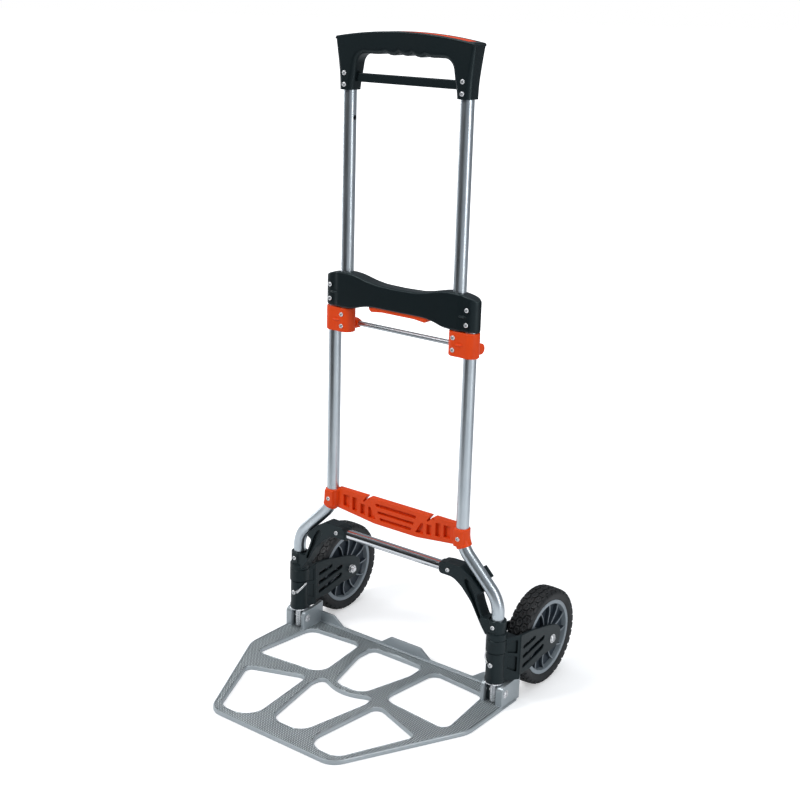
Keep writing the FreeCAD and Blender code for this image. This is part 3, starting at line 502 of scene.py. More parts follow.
cast = finish_material("cast_aluminium", (0.46, 0.505, 0.53), (0.40, 0.445, 0.47), (0.33, 0.45), 0.6,
                       grain=1100, grain_depth=0.00008, blotch=16, edge=0.0005, strength=0.4)
knurled = finish_material("knurled_field", (0.50, 0.55, 0.57), (0.43, 0.48, 0.50), (0.36, 0.5), 0.55,
                          grain=1300, grain_depth=0.0001, blotch=22, edge=0.0, strength=0.4)
nodes, links = knurled.node_tree.nodes, knurled.node_tree.links
base_input = nodes["Principled BSDF"].inputs["Base Color"]
split = nodes.new("ShaderNodeSeparateXYZ")
links.new(nodes.new("ShaderNodeTexCoord").outputs["Object"], split.inputs[0])
# Painted shade and highlight: the knurled field's colour is darkened to 0.34 in the low field and lifted to
# 1.8 on the raised points.
knurl_shade_and_highlight = remap(nodes, links, split.outputs["Z"], 0.34, 1.8, 0.0076, 0.0084)
shade = nodes.new("ShaderNodeVectorMath")
shade.operation = "SCALE"
links.new(base_input.links[0].from_socket, shade.inputs[0])
links.new(knurl_shade_and_highlight, shade.inputs["Scale"])
links.new(shade.outputs[0], base_input)
rim_grey = finish_material("wheel_grey", (0.29, 0.335, 0.37), (0.24, 0.28, 0.31), (0.34, 0.48),
                           grain=1100, grain_depth=0.00004, blotch=18, edge=0.0004)
# Painted shade: a darker copy of the wheel grey, used on the dished web and the middles of the spokes.
rim_shaded_grey = finish_material("wheel_web_shade", (0.032, 0.047, 0.063), (0.022, 0.033, 0.046), (0.4, 0.55),
                           grain=1100, grain_depth=0.00004, blotch=18, edge=0.0004)
rubber = finish_material("tyre_rubber", (0.009, 0.011, 0.013), (0.005, 0.0065, 0.008), (0.45, 0.62),
                         grain=1600, grain_depth=0.00012, blotch=30, edge=0.0005, strength=0.5)
spring = finish_material("spring_steel", (0.5, 0.51, 0.53), (0.4, 0.41, 0.43), (0.2, 0.3), 1.0, edge=0.0)
SLOTS = {
    "satin_aluminium": tube_metal, "bright_chrome": chrome, "zinc_steel": zinc,
    "black_moulding": black, "orange_moulding": orange, "plate_aluminium": cast,
    "wheel_grey": rim_grey, "tyre_rubber": rubber, "spring_steel": spring,
}
for node_name, obj in frame["nodes"].items():
    obj.data.materials.clear()
    obj.data.materials.append(SLOTS[node_slots[node_name]])
rod_steel = finish_material("rod_steel", (0.52, 0.56, 0.59), (0.44, 0.48, 0.51), (0.24, 0.34), 0.85,
                            grain=500, stretch=(0.02, 1, 1), grain_depth=0.00001, edge=0.0)
frame["nodes"]["slider_rod"].data.materials[0] = rod_steel
for node_name in ("left_leg_pin", "right_leg_pin"):
    frame["nodes"][node_name].data.materials[0] = zinc


# ---- lower tubes
def tube_path(first, last, steps=14):
    """Centre line of the right lower tube from z = first up to z = last."""
    bend, turn = 55.0, radians(45)
    run = (LEG_X - LOWER_X - 2 * bend * (1 - cos(turn))) / sin(turn)
    drop = bend * sin(turn)
    low = 299.0 - 2 * drop - run * cos(turn)
    points = [(LEG_X, first)]
    for k in range(steps + 1):
        angle = turn * k / steps
        points.append((LEG_X - bend * (1 - cos(angle)), low + bend * sin(angle)))
    for k in range(steps, -1, -1):
        angle = turn * k / steps
        points.append((LOWER_X + bend * (1 - cos(angle)), 299.0 - bend * sin(angle)))
    points.append((LOWER_X, last))
    return [Vector((x, 0, z)) for x, z in points]


lower = Shape()
leg_path = tube_path(49.0, 702.0)
sweep(lower, leg_path, [TUBE] * len(leg_path), 64)
make_pair(lower, "lower_tube_skin", tube_metal, "frame", "lower_tube")


# ---- screws
def screw_group(name, body, node, places, radius=4.0, height=2.0):
    """Screw heads on front faces, with the start of each shank, as one piece."""
    group = Shape()
    for x, y, z in places:
        socket_head(group, (x, y, z), (0, -1, 0), radius, height)
        lathe(group, [(2.0, 0.0), (2.0, 1.8)], (x, y, z), (0, 1, 0), 16)
    make(group, name, zinc, body, node)


screw_group("corner_bracket_screw_heads", "frame", "corner_bracket_screws",
            [(s * x, y, z) for s in BOTH for x, y, z in ((LEG_X, -15.5, 152.0), (124.0, -13.0, 228.6))])
screw_group("crossmember_screw_heads", "frame", "crossmember_screws",
            [(s * LOWER_X, -13.8, 291.0) for s in BOTH])
screw_group("bracket_screw_heads", "frame", "bracket_screws",
            [(s * LOWER_X, -16.0, z) for s in BOTH for z in (687.0, 662.5)])
screw_group("handle_screw_heads", "handle", "handle_screws",
            [(s * UPPER_X, -16.5, z) for s in BOTH for z in (1043.0, 1024.5)])
screw_group("slider_screw_heads", "handle", "slider_screws",
            [(s * UPPER_X, -15.2, z) for s in BOTH for z in (637.5, 617.0)])


# ---- corner brackets
def corner_bracket():
    """Socket for the crossbar, curved strut and collar round the leg."""
    shape = Shape()
    rim = rounded([
        (105, 218.5, 7), (105, 240, 7), (121, 242.5, 6), (150, 243, 5), (171, 230, 3),
        (187, 215.5, 2), (195, 207, 2), (190.5, 202, 3), (183.5, 201, 5), (190, 183, 30),
        (199, 163, 4), (214, 163, 1),
        (214, 134, 2), (206, 134, 3), (196, 148, 30), (174, 185, 60),
        (153, 207, 40), (135, 218.5, 30),
    ])
    plate(shape, [rim], -12.5, 7, 2)
    channel = rounded([(156, 226, 4), (169, 221, 5), (178.5, 205, 5), (184, 187, 20),
                       (196, 160, 2), (192.5, 158.5, 2), (177, 187, 30), (163, 208, 12)])
    plate(shape, [rim, channel], 5, 12.8, 1.4)
    lathe(shape, bump_profile(13, 104.5, 131, 3), (0, 0, CROSSBAR_Z), (1, 0, 0), 48)
    ring = [(11.1, 129), (17.6, 129), (18, 129.6), (18, 139), (17.4, 140), (15.5, 140.6),
            (15.5, 162.2), (14.8, 163), (11.1, 163)]
    lathe(shape, ring, (LEG_X, 0, 0), (0, 0, 1), 64, closed=True)
    pad = rounded([(LEG_X - 7, 142.5, 3), (LEG_X + 7, 142.5, 3),
                   (LEG_X + 7, 161, 3), (LEG_X - 7, 161, 3)])
    plate(shape, [pad], 12, 15.5, 0.8)
    slope = radians(-45)
    clip = plane((194.3, 10, 236.6), (cos(slope), 0, sin(slope)), (0, 1, 0))
    saddle = rounded([(-14, -5, 2), (9, -5, 2), (9, 5, 2), (-14, 5, 2)])
    plate(shape, [saddle], -1.4, 0.9, 0.4, clip)
    return shape


make_pair(corner_bracket(), "corner_moulding", black, "frame", "corner_bracket")


# ---- crossbar and leg ends
bar = Shape()
disc(bar, 9, -122, 122, 0.8, (0, 0, CROSSBAR_Z), (1, 0, 0), 64)
make(bar, "crossbar_skin", chrome, "frame", "crossbar")

washers = Shape()
for s in BOTH:
    ring = [(7.05, 46), (17, 46), (17.5, 46.4), (17.5, 47.6), (17, 48), (7.05, 48)]
    lathe(washers, ring, (s * LEG_X, 0, 0), (0, 0, 1), 64, closed=True)
make(washers, "leg_washer_rings", chrome, "frame", "leg_washers")


def leg_guard():
    """Black block with a groove in which the leg pin stands; its black is painted shade for the dark gap
    between the lugs.
    """
    shape = Shape()
    plan = [(209.9, -3.5), (214.6, -3.5)]
    for k in range(13):
        angle = radians(180 - 180 * k / 12)
        plan.append((LEG_X + 7.15 * cos(angle), 7.15 * sin(angle)))
    plan += [(230, -3.5), (231.7, -3.5), (231.7, 14), (209.9, 14)]
    plate(shape, [plan], 11, 45.5, 0.4, XY)
    return shape


# Painted shade: the black block beside each leg pin stands in for the shadow between the lugs.
make_pair(leg_guard(), "leg_pin_shade_block", black, "frame", "leg_guard")


# ---- lower crossmember
def crossmember():
    """Slotted bar with two hooks and a clamp on each tube."""
    shape = Shape()
    top = 311.0
    rim = [(-140, 274.5, 0), (-132, top, 0), (-65.5, top, 0.8), (-73.6, 300.2, 0.7), (-71.2, 298.8, 0.7),
           (-62.4, 308.4, 0.5), (-59.4, 304.8, 0.5), (-57.6, 306, 0.5), (-59.6, top, 0.8)]
    rim += [(75.5, top, 0.8), (67.4, 300.2, 0.7), (69.8, 298.8, 0.7), (78.6, 308.4, 0.5), (81.6, 304.8, 0.5),
            (83.4, 306, 0.5), (81.4, top, 0.8), (132, top, 0), (140, 274.5, 0)]
    rim += [(104, 270.5, 20), (47, 264, 30), (-47, 264, 30), (-104, 270.5, 20)]
    front = [rounded(rim, 4)]
    for side in BOTH:
        for inner, outer, base, ceiling in ((104.4, 118.3, 280, 302), (87, 97.5, 277, 302),
                                            (68, 78.7, 275, 294), (56, 61, 272.5, 293)):
            foot = 43.5 if inner < 60 else inner
            window = [(inner, ceiling, 1), (outer, ceiling, 1), (outer, base, 1), (foot, base, 1)]
            front.append(rounded(flip_x(window, side), 3))
    for half_top, half_base, base, ceiling in ((46, 43, 297, 303), (41, 38.5, 284.5, 289.5),
                                              (36, 33.5, 272.5, 278)):
        front.append(rounded(mirror_corners([(half_top, ceiling, 1.5), (half_base, base, 1.5)]), 3))
    plate(shape, front, -6, 0.5, 0.7)
    plate(shape, [rounded(rim, 4)], -12, -5.5, 0.7)
    for s in BOTH:
        path = [Vector((s * p.x, 0, p.z)) for p in tube_path(200, 308.5) if p.z > 274.5]
        path = [path[0] + (path[0] - path[1]).normalized() * 0.9] + path[:-1]
        path += [Vector((s * LOWER_X, 0, 307.3)), Vector((s * LOWER_X, 0, 308.5))]
        radii = [12.6] + [13.8] * (len(path) - 2) + [12.6]
        sweep(shape, path, radii, 48)
        pad_edge = [(s * (LOWER_X - 9.5), 276, 2), (s * (LOWER_X + 11), 276, 2),
                    (s * (LOWER_X + 9.5), 307, 2), (s * (LOWER_X - 9.5), 307, 2)]
        plate(shape, [rounded(pad_edge, 4)], 4, 13.9, 2)
    return shape


make(crossmember(), "crossmember_moulding", orange, "frame", "lower_crossmember")


# ---- middle bracket
HALF = 158.5
TOP_LINE = ((0, 699.5), (40, 700.6), (62, 704), (76, 707.5), (90, 710.7), (104, 712.2), (118, 712.2),
            (130, 711), (142, 708.4), (152, 704.5), (158.5, 701))
LOW_LINE = ((0, 660), (50, 660), (62, 659.4), (76, 656.5), (88, 652.8), (96, 650.8), (106, 650), (158.5, 650))


def level(line, x):
    """Height of a profile at x, eased between its points."""
    xs, zs = zip(*line)
    fine = np.linspace(0, HALF, 240)
    rough = np.interp(fine, xs, zs)
    soft = np.convolve(np.pad(rough, 7, mode="edge"), np.ones(15) / 15, mode="valid")
    return float(np.interp(abs(x), fine, soft))


def bracket_half(front):
    """One cover of the bracket, lofted from end to end."""
    shape = Shape()
    depth, sign = (16, -1) if front else (14, 1)
    stations = [-HALF + 16.0 * (1 - cos(pi / 2 * k / 12)) for k in range(13)]
    stations = stations + list(np.linspace(-141, 141, 95)) + [-x for x in reversed(stations)]
    rings = []
    for x in stations:
        reach = depth
        over = abs(x) - (HALF - 16)
        if over > 0:
            reach = depth * sqrt(max(1 - (over / 16) ** 2, 0.0004))
        if front:
            reach -= 1.8 * min(max((abs(x) - 128.5) / 1.5, 0), 1)
        top, base = level(TOP_LINE, x) - (0 if front else 1.2), level(LOW_LINE, x)
        bevel = min(3.2, reach * 0.6)
        seam = 0.35
        profile = [(seam, base + 0.5), (seam + 0.5, base)]
        profile += [(reach - bevel * (1 - s), base + bevel * (1 - c)) for s, c in quarter(5)]
        profile += [(reach - bevel * (1 - c), top - bevel * (1 - s)) for s, c in quarter(5)]
        profile += [(seam + 0.5, top), (seam, top - 0.5)]
        rings.append([Vector((x, sign * max(y, seam * 0.5), z)) for y, z in profile])
    loft(shape, rings)
    return shape


cover = bracket_half(True)
for s in BOTH:
    loft(cover, lens(s * (LOWER_X - 9), 674.8, s * 9, 2.6, -14.6))
make(cover, "bracket_front_moulding", black, "frame", "bracket_front_cover")
make(bracket_half(False), "bracket_rear_moulding", black, "frame", "bracket_rear_cover")

trigger = Shape()
finger = rounded([(-63.5, 666, 1), (-60.5, 654, 3), (-56, 650.6, 3), (-34, 653.2, 40),
                  (34, 653.2, 40), (56, 650.6, 3), (60.5, 654, 3), (63.5, 666, 1)], 5)
plate(trigger, [finger], -8, 11.5, 2.2)
make(trigger, "release_trigger_bar", orange, "trigger")


def coil():
    """Right latch spring, from its seat at x = 22.2 to the pin at x = 45.8."""
    shape = Shape()
    rings = []
    steps, turns = 200, 9
    for k in range(steps + 1):
        angle = 2 * pi * turns * k / steps
        out = Vector((0, cos(angle), sin(angle)))
        along = Vector((23.0 / steps, -sin(angle) * 0.5, cos(angle) * 0.5)).normalized()
        up = along.cross(out)
        centre = Vector((22.7 + 22.6 * k / steps, 0, LATCH_Z)) + out * 2.5
        rings.append(ellipse(centre, out, up, 0.5, 0.5, 8))
    loft(shape, rings)
    return shape


for side, name in reversed(SIDES):
    shape = coil() if side > 0 else coil().mirrored()
    piece = make(shape, f"{name}_latch_coil", spring, "frame", f"{name}_latch_spring")
    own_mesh(piece)


# ---- slider blocks
def slider_block():
    """Block on a sliding tube and a fixed tube, with a boss for the rod."""
    shape = Shape()
    radius = 15.2
    plan = []
    for k in range(33):
        angle = radians(90 + 180 * k / 32)
        plan.append((UPPER_X + radius * cos(angle), radius * sin(angle)))
    for k in range(1, 12):
        t = k / 12
        plan.append((UPPER_X + (LOWER_X - UPPER_X) * t, -radius + 0.8 * sin(pi * t)))
    for k in range(33):
        angle = radians(-90 + 180 * k / 32)
        plan.append((LOWER_X + radius * cos(angle), radius * sin(angle)))
    plate(shape, [plan], 606, 648.3, 1.6, XY)
    boss = (0, SLIDER_ROD_Y, SLIDER_ROD_Z)
    lathe(shape, bump_profile(9.5, 111, 151, 2.5), boss, (1, 0, 0), 40)
    lathe(shape, [(7, 106.5), (8.8, 111.5), (8.8, 115)], boss, (1, 0, 0), 40)
    web = rounded([(111, 608, 2), (149, 608, 2), (149, 626.3, 2), (111, 626.3, 2)])
    plate(shape, [web], -22, -8, 1)
    loft(shape, lens(UPPER_X + 11, 627.2, 9, 2.4, -14.4))
    return shape


make_pair(slider_block(), "slider_moulding", orange, "handle", "slider_block")


# ---- handle
GRIP_FOOT, CROWN_TOP, CROWN_RADIUS = 1016, 1112.5, 812.8


def crown(x, offset=0):
    """Height of the grip's top at a distance x from its middle."""
    return CROWN_TOP - CROWN_RADIUS + sqrt((CROWN_RADIUS + offset) ** 2 - x * x)


def crown_strip(first, last, offset, low_first, low_last, low_offset, count=61):
    """Outline of a strip that follows the crown, from its upper to its lower edge."""
    strip = [(x, crown(x, offset)) for x in np.linspace(first, last, count)]
    return strip + [(x, crown(x, low_offset)) for x in np.linspace(low_first, low_last, count)]


def grip_outline():
    """Front view of the grip: legs, crown, and the waved underside."""
    right = [(104, 1016), (130.5, 1016), (130.7, 1018), (131.4, 1035), (132.3, 1047),
             (133.6, 1060), (136.4, 1084)]
    right += [(134.8 + 3.5 * c, crown(134.8) - 4.8 + 3.5 * s) for s, c in quarter(4)]
    left_inner = [(-103.8, 1018), (-102.2, 1030), (-99, 1046)]
    for k in range(1, 8):
        angle = radians(180 - 84 * k / 7)
        left_inner.append((-78.0 + 19.4 * cos(angle), 1056.0 + 19.4 * sin(angle)))
    points = right + [(x, crown(x, -1.3)) for x in np.linspace(131, -131, 41)]
    points += [(-x, z) for x, z in reversed(right)] + left_inner
    cusps = [-62, -35, -9, 17, 43, 62]
    for first, last in zip(cusps, cusps[1:]):
        for k in range(9):
            x = first + (last - first) * k / 8
            lobe = 4.2 if first > -62 and last < 62 else 1.2
            points.append((x, 1079.4 - 0.0011 * x * x - lobe * sin(pi * k / 8) ** 0.8))
    points += [(-x, z) for x, z in reversed(left_inner)]
    clean = []
    for point in points:
        if not clean or (Vector(point) - Vector(clean[-1])).length > 0.05:
            clean.append(point)
    return clean


def grip_bevel(x, z):
    """Radius of the grip's edge: small on the crown, large elsewhere."""
    if z > 1097:
        return 0.8
    if abs(x) < 100.5 and z > 1050:
        return 8.5
    return 10.0 - 4.0 * min(max((z - 1040) / 50, 0), 1)


grip = Shape()
plate(grip, [grip_outline()], -16.5, 16.5, grip_bevel, steps=7, foot=GRIP_FOOT)
for low, high in ((-16.46, -12), (12, 16.46)):
    plate(grip, [crown_strip(136.2, -136.2, 0, -137.2, 137.2, -4.5)], low, high, 1.2)
for side in BOTH:
    edge = crown_strip(136.2, 124.5, 0, 124.5, 137.2, -4.5, 7)
    plate(grip, [[(side * x, z) for x, z in edge]], -15.8, 15.8, 1)
make(grip, "grip_moulding", black, "handle", "handle_grip", sharp=38)

insert = Shape()
plate(insert, [crown_strip(-124, 124, -0.5, 124, -124, -2.4)], -11.8, 11.8, 0.5)
make(insert, "grip_insert_band", orange, "handle", "grip_insert")

flat_bar = Shape()
plate(flat_bar, [[(-104.1, 1029.5), (104.1, 1029.5), (104.1, 1043.5), (-104.1, 1043.5)]], -5, 5, 1)
make(flat_bar, "handle_flat_bar", black, "handle", "handle_crossbar")


# ---- toe plate
KNURL_PITCH, KNURL_BASE, KNURL_HEIGHT = 1.9, 7.5, 1.0


def toe_plate():
    """Casting with six windows, a knurled top, a rear lip and four hinge lugs."""
    shape = Shape()
    rim = rounded(mirror_corners([(246, 45, 10), (246, -109, 60), (133, -328, 35)]), 10)
    windows = [
        rounded(mirror_corners([(57, 19, 14), (59, -21, 50), (31, -125, 26)]), 8),
        rounded(mirror_corners([(0, -148, 80), (56, -124, 9), (60, -150, 20),
                                (33, -286, 28)]), 8),
    ]
    for side in BOTH:
        windows.append(rounded(flip_x([(84, 17, 18), (69, -115, 26), (213, -129, 15),
                                       (198, 7, 22)], side), 8))
        windows.append(rounded(flip_x([(79, -139, 14), (59, -309, 34), (128, -309, 26),
                                       (188, -180, 12)], side), 8))
    plate(shape, [rim] + windows, 0, 8, 1.6, XY, top=False)
    field_loops = []
    for loop in oriented([rim] + windows):
        points = np.array([tuple(p) for p in loop])
        inward = offsets(loop)
        mesh = []
        for inset, height in ((1.6, 8), (2.4, 8), (2.9, KNURL_BASE)):
            mesh.extend((u, v, height) for u, v in points + inward * inset)
        shape.add(mesh, bands(len(points), 3), 0)
        field_loops.append([tuple(p) for p in points + inward * 2.9])
    grid = np.array([(i * KNURL_PITCH, j * KNURL_PITCH) for i in range(-130, 131) for j in range(-175, 25)])
    grid = grid[inside([np.array(loop) for loop in field_loops], grid)]
    walls = np.concatenate([np.array(loop) for loop in field_loops])
    tree = KDTree(len(walls))
    for i, p in enumerate(walls):
        tree.insert((p[0], p[1], 0), i)
    tree.balance()
    grid = [p for p in grid if tree.find((p[0], p[1], 0))[2] > 0.9]
    flat, triangles = fill(field_loops, grid)
    raised = []
    for u, v in flat:
        i, j = u / KNURL_PITCH, v / KNURL_PITCH
        on_grid = abs(i - round(i)) < 0.02 and abs(j - round(j)) < 0.02
        peak = on_grid and round(i) % 2 == 0 and round(j) % 2 == 0
        raised.append((u, v, KNURL_BASE + (KNURL_HEIGHT if peak else 0)))
    shape.add(raised, triangles, 1)

    for drop, low, high in ((1.3, -44.7, -40.4), (0, -41.7, -40), (0, -45, -43.3)):
        lip = rounded(mirror_corners([(34, 28.5 - drop, 4), (57, 11.5 - drop, 8), (148, 11.5 - drop, 8),
                                      (172, 28.5 - drop, 6), (203, 28.5 - drop, 0), (203, 3, 0)]), 5)
        plate(shape, [lip], low, high, 0.6)
    foot = rounded([(-204, 7, 0), (204, 7, 0), (204, 10.2, 1), (-204, 10.2, 1)], 3)
    plate(shape, [foot], -41.5, -36.5, 1.2)
    lug = rounded([(-11, 4, 0), (-11, 44, 10), (14, 45, 20), (41, 48.5, 2), (45, 51, 1.5),
                   (45, 4, 0)], 7)
    for side in BOTH:
        for low, high in ((201.5, 209), (232.5, 246)):
            low, high = sorted((side * low, side * high))
            plate(shape, [lug], low, high, 1.2, YZ)
    return shape


make(toe_plate(), "toe_plate_casting", [cast, knurled], "toe_plate_body", "toe_plate")

for side, name in SIDES:
    pin = Shape()
    lathe(pin, [(3.5, 201), (3.5, 247)], (0, 0, HINGE_Z), (side, 0, 0), 32)
    for x, facing in ((201.5, -side), (246, side)):
        origin = (side * x, 0, HINGE_Z)
        disc(pin, 7.4, 0, 0.7, 0.2, origin, (facing, 0, 0), 40)
        socket_head(pin, origin, (facing, 0, 0), 6, 1.9, 2.9, base=0.6)
    make(pin, f"{name}_hinge_bolt", zinc, "toe_plate_body", f"{name}_hinge_pin")


# ---- forks
CHEEK_EDGE = [(24, 58, 2), (24, 134.5, 3), (57, 131, 60), (114, 119.5, 30), (140, 112, 20),
              (158, 99, 16), (157, 71, 14), (128, 66, 20), (102, 66.5, 30), (62, 58.5, 20)]
CHEEK_SLOTS = [
    [(33, 105, 2), (71, 110.2, 2.6), (74, 116.6, 2.4), (33.5, 111, 2)],
    [(33, 87, 2), (101, 98, 2.8), (104.5, 106, 2.6), (33.5, 93.2, 2)],
    [(33.5, 68.6, 2), (98, 80.5, 3.2), (105.5, 90.8, 3), (33.5, 74.8, 2)],
]


def wall_window(x, low, high, far_x, far_low, far_high):
    """Outline of a four-sided opening between two heights at each of its ends."""
    return rounded([(x, low, 1.5), (x, high, 1.5), (far_x, far_high, 1.5), (far_x, far_low, 1.5)], 4)


def fork():
    """Sleeve, two slotted cheeks, the core between them and two slanted walls."""
    shape = Shape()
    sleeve = [(11.1, 48.3), (16.9, 48.3), (17.4, 48.8), (17.4, 54.6), (16.4, 56.4), (16.4, 103.3),
              (15.3, 104), (15.3, 105), (18.2, 105.8), (18.2, 127.6), (17.2, 128.6), (11.1, 128.6)]
    lathe(shape, sleeve, (LEG_X, 0, 0), (0, 0, 1), 72, closed=True)
    holes = [rounded(slot, 4) for slot in CHEEK_SLOTS]
    plate(shape, [rounded(CHEEK_EDGE, 8)] + holes, CHEEK_OUT - CHEEK, CHEEK_OUT, 1, YZ)
    plate(shape, [rounded(CHEEK_EDGE, 8)] + holes, CHEEK_IN, CHEEK_IN + CHEEK, 1, YZ)
    core = rounded([(LEG_X - 15.2, 3, 0), (LEG_X + 13, 3, 0), (CHEEK_OUT - 5.5, 27, 1),
                    (CHEEK_OUT - 3, 33.5, 1), (CHEEK_IN + 3, 33.5, 1), (CHEEK_IN + 1, 24, 1)], 3)
    plate(shape, [core], 59.5, 126.5, 1, XY)
    length = hypot(CHEEK_OUT - LEG_X - 15, 25)
    outer = plane((LEG_X + 15, 1.5, 0), (CHEEK_OUT - LEG_X - 15, 25, 0), (0, 0, 1))
    wall = rounded([(0, 50.5, 0), (0, 129, 2), (length, 133.8, 2), (length, 50.5, 2)], 4)
    windows = [wall_window(7, 103, 123, length - 7, 100, 125),
               wall_window(7, 74, 97, length - 7, 65, 94)]
    plate(shape, [wall] + windows, -4, 0, 0.8, outer)
    inner_length = hypot(LEG_X - 15.2 - CHEEK_IN, 23)
    inner = plane((CHEEK_IN, 25, 0), (LEG_X - 15.2 - CHEEK_IN, -23, 0), (0, 0, 1))
    wall = rounded([(0, 50.5, 2), (0, 133.8, 2), (inner_length, 129, 2), (inner_length, 50.5, 0)], 4)
    windows = [wall_window(6, 100, 125, inner_length - 5, 103, 123),
               wall_window(6, 65, 94, inner_length - 5, 74, 97)]
    plate(shape, [wall] + windows, -3, 0.6, 0.7, inner)
    return shape


def link(side):
    """Bright lever that wraps round the sleeve from its screw towards the inner side."""
    shape = Shape()
    reach, last = 17.6, 14
    path = []
    for k in range(last + 1):
        turn = radians(-68 + 62 * k / last)
        x, y = LEG_X - reach * cos(turn), reach * sin(turn)
        path.append(Vector((side * x, y, 84.0 + 17.0 * k / last)))
    rings = []
    for k, point in enumerate(path):
        along = (path[min(k + 1, last)] - path[max(k - 1, 0)]).normalized()
        out = Vector((point.x - side * LEG_X, point.y, 0)).normalized()
        up = along.cross(out)
        size = 2.0 if k > 11 else 2.6 - 0.09 * k
        rings.append(ellipse(point, out, up, 1.6, size, 16))
    loft(shape, rings)
    return shape


def axle(side):
    """Bolt with a washer under its head, and the nut on its inner end."""
    bolt, nut = Shape(), Shape()
    outer, inner = side * CHEEK_OUT, side * CHEEK_IN
    lathe(bolt, [(5, 0), (5, 62), (4.2, 63)], (outer, HUB_Y, HUB_Z), (-side, 0, 0), 32)
    disc(bolt, 8.2, 0, 1, 0.3, (outer, HUB_Y, HUB_Z), (side, 0, 0), 48)
    socket_head(bolt, (outer, HUB_Y, HUB_Z), (side, 0, 0), 6.4, 2.9, 3, base=0.9)
    facing = (-side, 0, 0)
    hexagon(nut, 7.4, 1, 6, (inner, HUB_Y, HUB_Z), facing)
    disc(nut, 8.4, 0, 1.1, 0.3, (inner, HUB_Y, HUB_Z), facing, 48)
    return bolt, nut


fork_shape = fork()
for side, name in SIDES:
    body = f"{name}_fork_body"
    shape = fork_shape if side > 0 else fork_shape.mirrored()
    make(shape, f"{name}_fork_moulding", black, body, f"{name}_fork")
    screw_place = (side * LEG_X, -16.5, 82)
    screw_group(f"{name}_fork_screw_head", body, f"{name}_fork_screw", [screw_place], 4.4, 2.2)
    make(link(side), f"{name}_fork_lever", zinc, body, f"{name}_fork_link")
    bolt, nut = axle(side)
    make(bolt, f"{name}_axle_bolt_detail", zinc, body, f"{name}_axle_bolt")
    make(nut, f"{name}_axle_nut_detail", zinc, body, f"{name}_axle_nut")


# ---- wheels
def tyre():
    """Tyre centred on the origin with its axle along X: carcass, tread knobs and shoulder lugs."""
    shape = Shape()
    half = [(68.3, 17.5), (71, 18.8), (76, 20), (80, 19.9), (82.8, 18.6), (84.1, 15.6), (84.8, 10)]
    profile = [(radius, -x) for radius, x in half] + [(84.9, 0)] + half[::-1]
    lathe(shape, profile, (0, 0, 0), (1, 0, 0), 120, closed=True)
    count = 36
    for row, (middle, half, top) in enumerate(((-11.4, 5.6, 87.3), (0, 5.7, 87.5), (11.4, 5.6, 87.3))):
        for k in range(count):
            turn = 2 * pi * (k + 0.5 * (row % 2)) / count
            knob(shape, middle, turn, half, top)
    for end in BOTH:
        for k in range(count):
            turn = 2 * pi * (k + 0.5) / count
            shoulder(shape, end, turn)
    return shape


def knob(shape, middle, turn, half, top):
    """Six-sided tread block with a dished top."""
    levels = [(1.12, 83.4), (1, top - 0.5), (0.88, top), (0.58, top - 0.1), (0.40, top - 1.5)]
    rings = []
    for scale, radius in levels:
        ring = []
        for i in range(6):
            angle = pi / 3 * i
            across = middle + half * scale * cos(angle)
            around = half * 1.36 * scale * sin(angle) / 86.0
            lift = radius - 0.035 * max(abs(across) - 9, 0) ** 1.6
            ring.append(Vector((across, lift * sin(turn + around), lift * cos(turn + around))))
        rings.append(ring)
    loft(shape, rings)


def shoulder(shape, end, turn):
    """Lug on the edge of the tread that wraps on to the sidewall."""
    section = [(79.6, 18), (80.4, 20.4), (83.2, 19.8), (85.2, 17.9), (85.6, 16), (83, 15.6)]
    rings = []
    for step, shrink in ((-1, 0.86), (-0.8, 1), (0.8, 1), (1, 0.86)):
        ring = []
        for radius, across in section:
            radius = 82.5 + (radius - 82.5) * shrink
            angle = turn + step * 5.2 / 84.0
            ring.append(Vector((end * across, radius * sin(angle), radius * cos(angle))))
        rings.append(ring)
    loft(shape, rings)


def rim():
    """Rim with a flat ring each side, thin curved spokes on a dished web, and a hub."""
    shape = Shape()
    band = [(67.9, -17.6), (67.9, 17.6), (67, 18), (61.6, 18), (61, 17.4), (60.2, 9), (59.6, 3),
            (59.6, -3), (60.2, -9), (61, -17.4), (61.6, -18), (67, -18)]
    lathe(shape, band, (0, 0, 0), (1, 0, 0), 120, 0, closed=True)
    # The web and the middle of each spoke take the painted-shade copy of the grey; the ring, the hub and the
    # outer faces of the spokes stay grey.
    web = [(60.8, -9.5), (60.8, 9.5), (56, 7.5), (40, 6.5),
           (14, 7), (14, -7), (40, -6.5), (56, -7.5)]
    lathe(shape, web, (0, 0, 0), (1, 0, 0), 96, 1, closed=True)
    hub = [(8.05, -20), (13.6, -20), (14.6, -19), (15.6, -4),
           (15.6, 4), (14.6, 19), (13.6, 20), (8.05, 20)]
    lathe(shape, hub, (0, 0, 0), (1, 0, 0), 64, 0, closed=True)
    for k in range(12):
        spoke(shape, 2 * pi * k / 12, 0, 13.4, 1.4, 1)
        for end in BOTH:
            spoke(shape, 2 * pi * k / 12, end * 13.6, 0.7, 0.95, 0)
    return shape


SPOKE_SECTION = ((-1, 0.6), (-0.7, 1), (0.7, 1), (1, 0.6), (1, -0.6), (0.7, -1), (-0.7, -1), (-1, -0.6))


def spoke(shape, start, middle, reach, width, slot):
    """Curved radial rib of the wheel."""
    rings = []
    for i in range(9):
        t = i / 8
        radius = 14.4 + (61.0 - 14.4) * t
        angle = start + 0.15 * sin(pi * t) + 0.05 * t
        out = Vector((0, sin(angle), cos(angle)))
        side = Vector((0, cos(angle), -sin(angle))) * width
        bulge = middle * (1.12 - 0.12 * sin(pi * t))
        rings.append([out * radius + side * turn + Vector((bulge + across * reach, 0, 0))
                      for across, turn in SPOKE_SECTION])
    loft(shape, rings, slot)


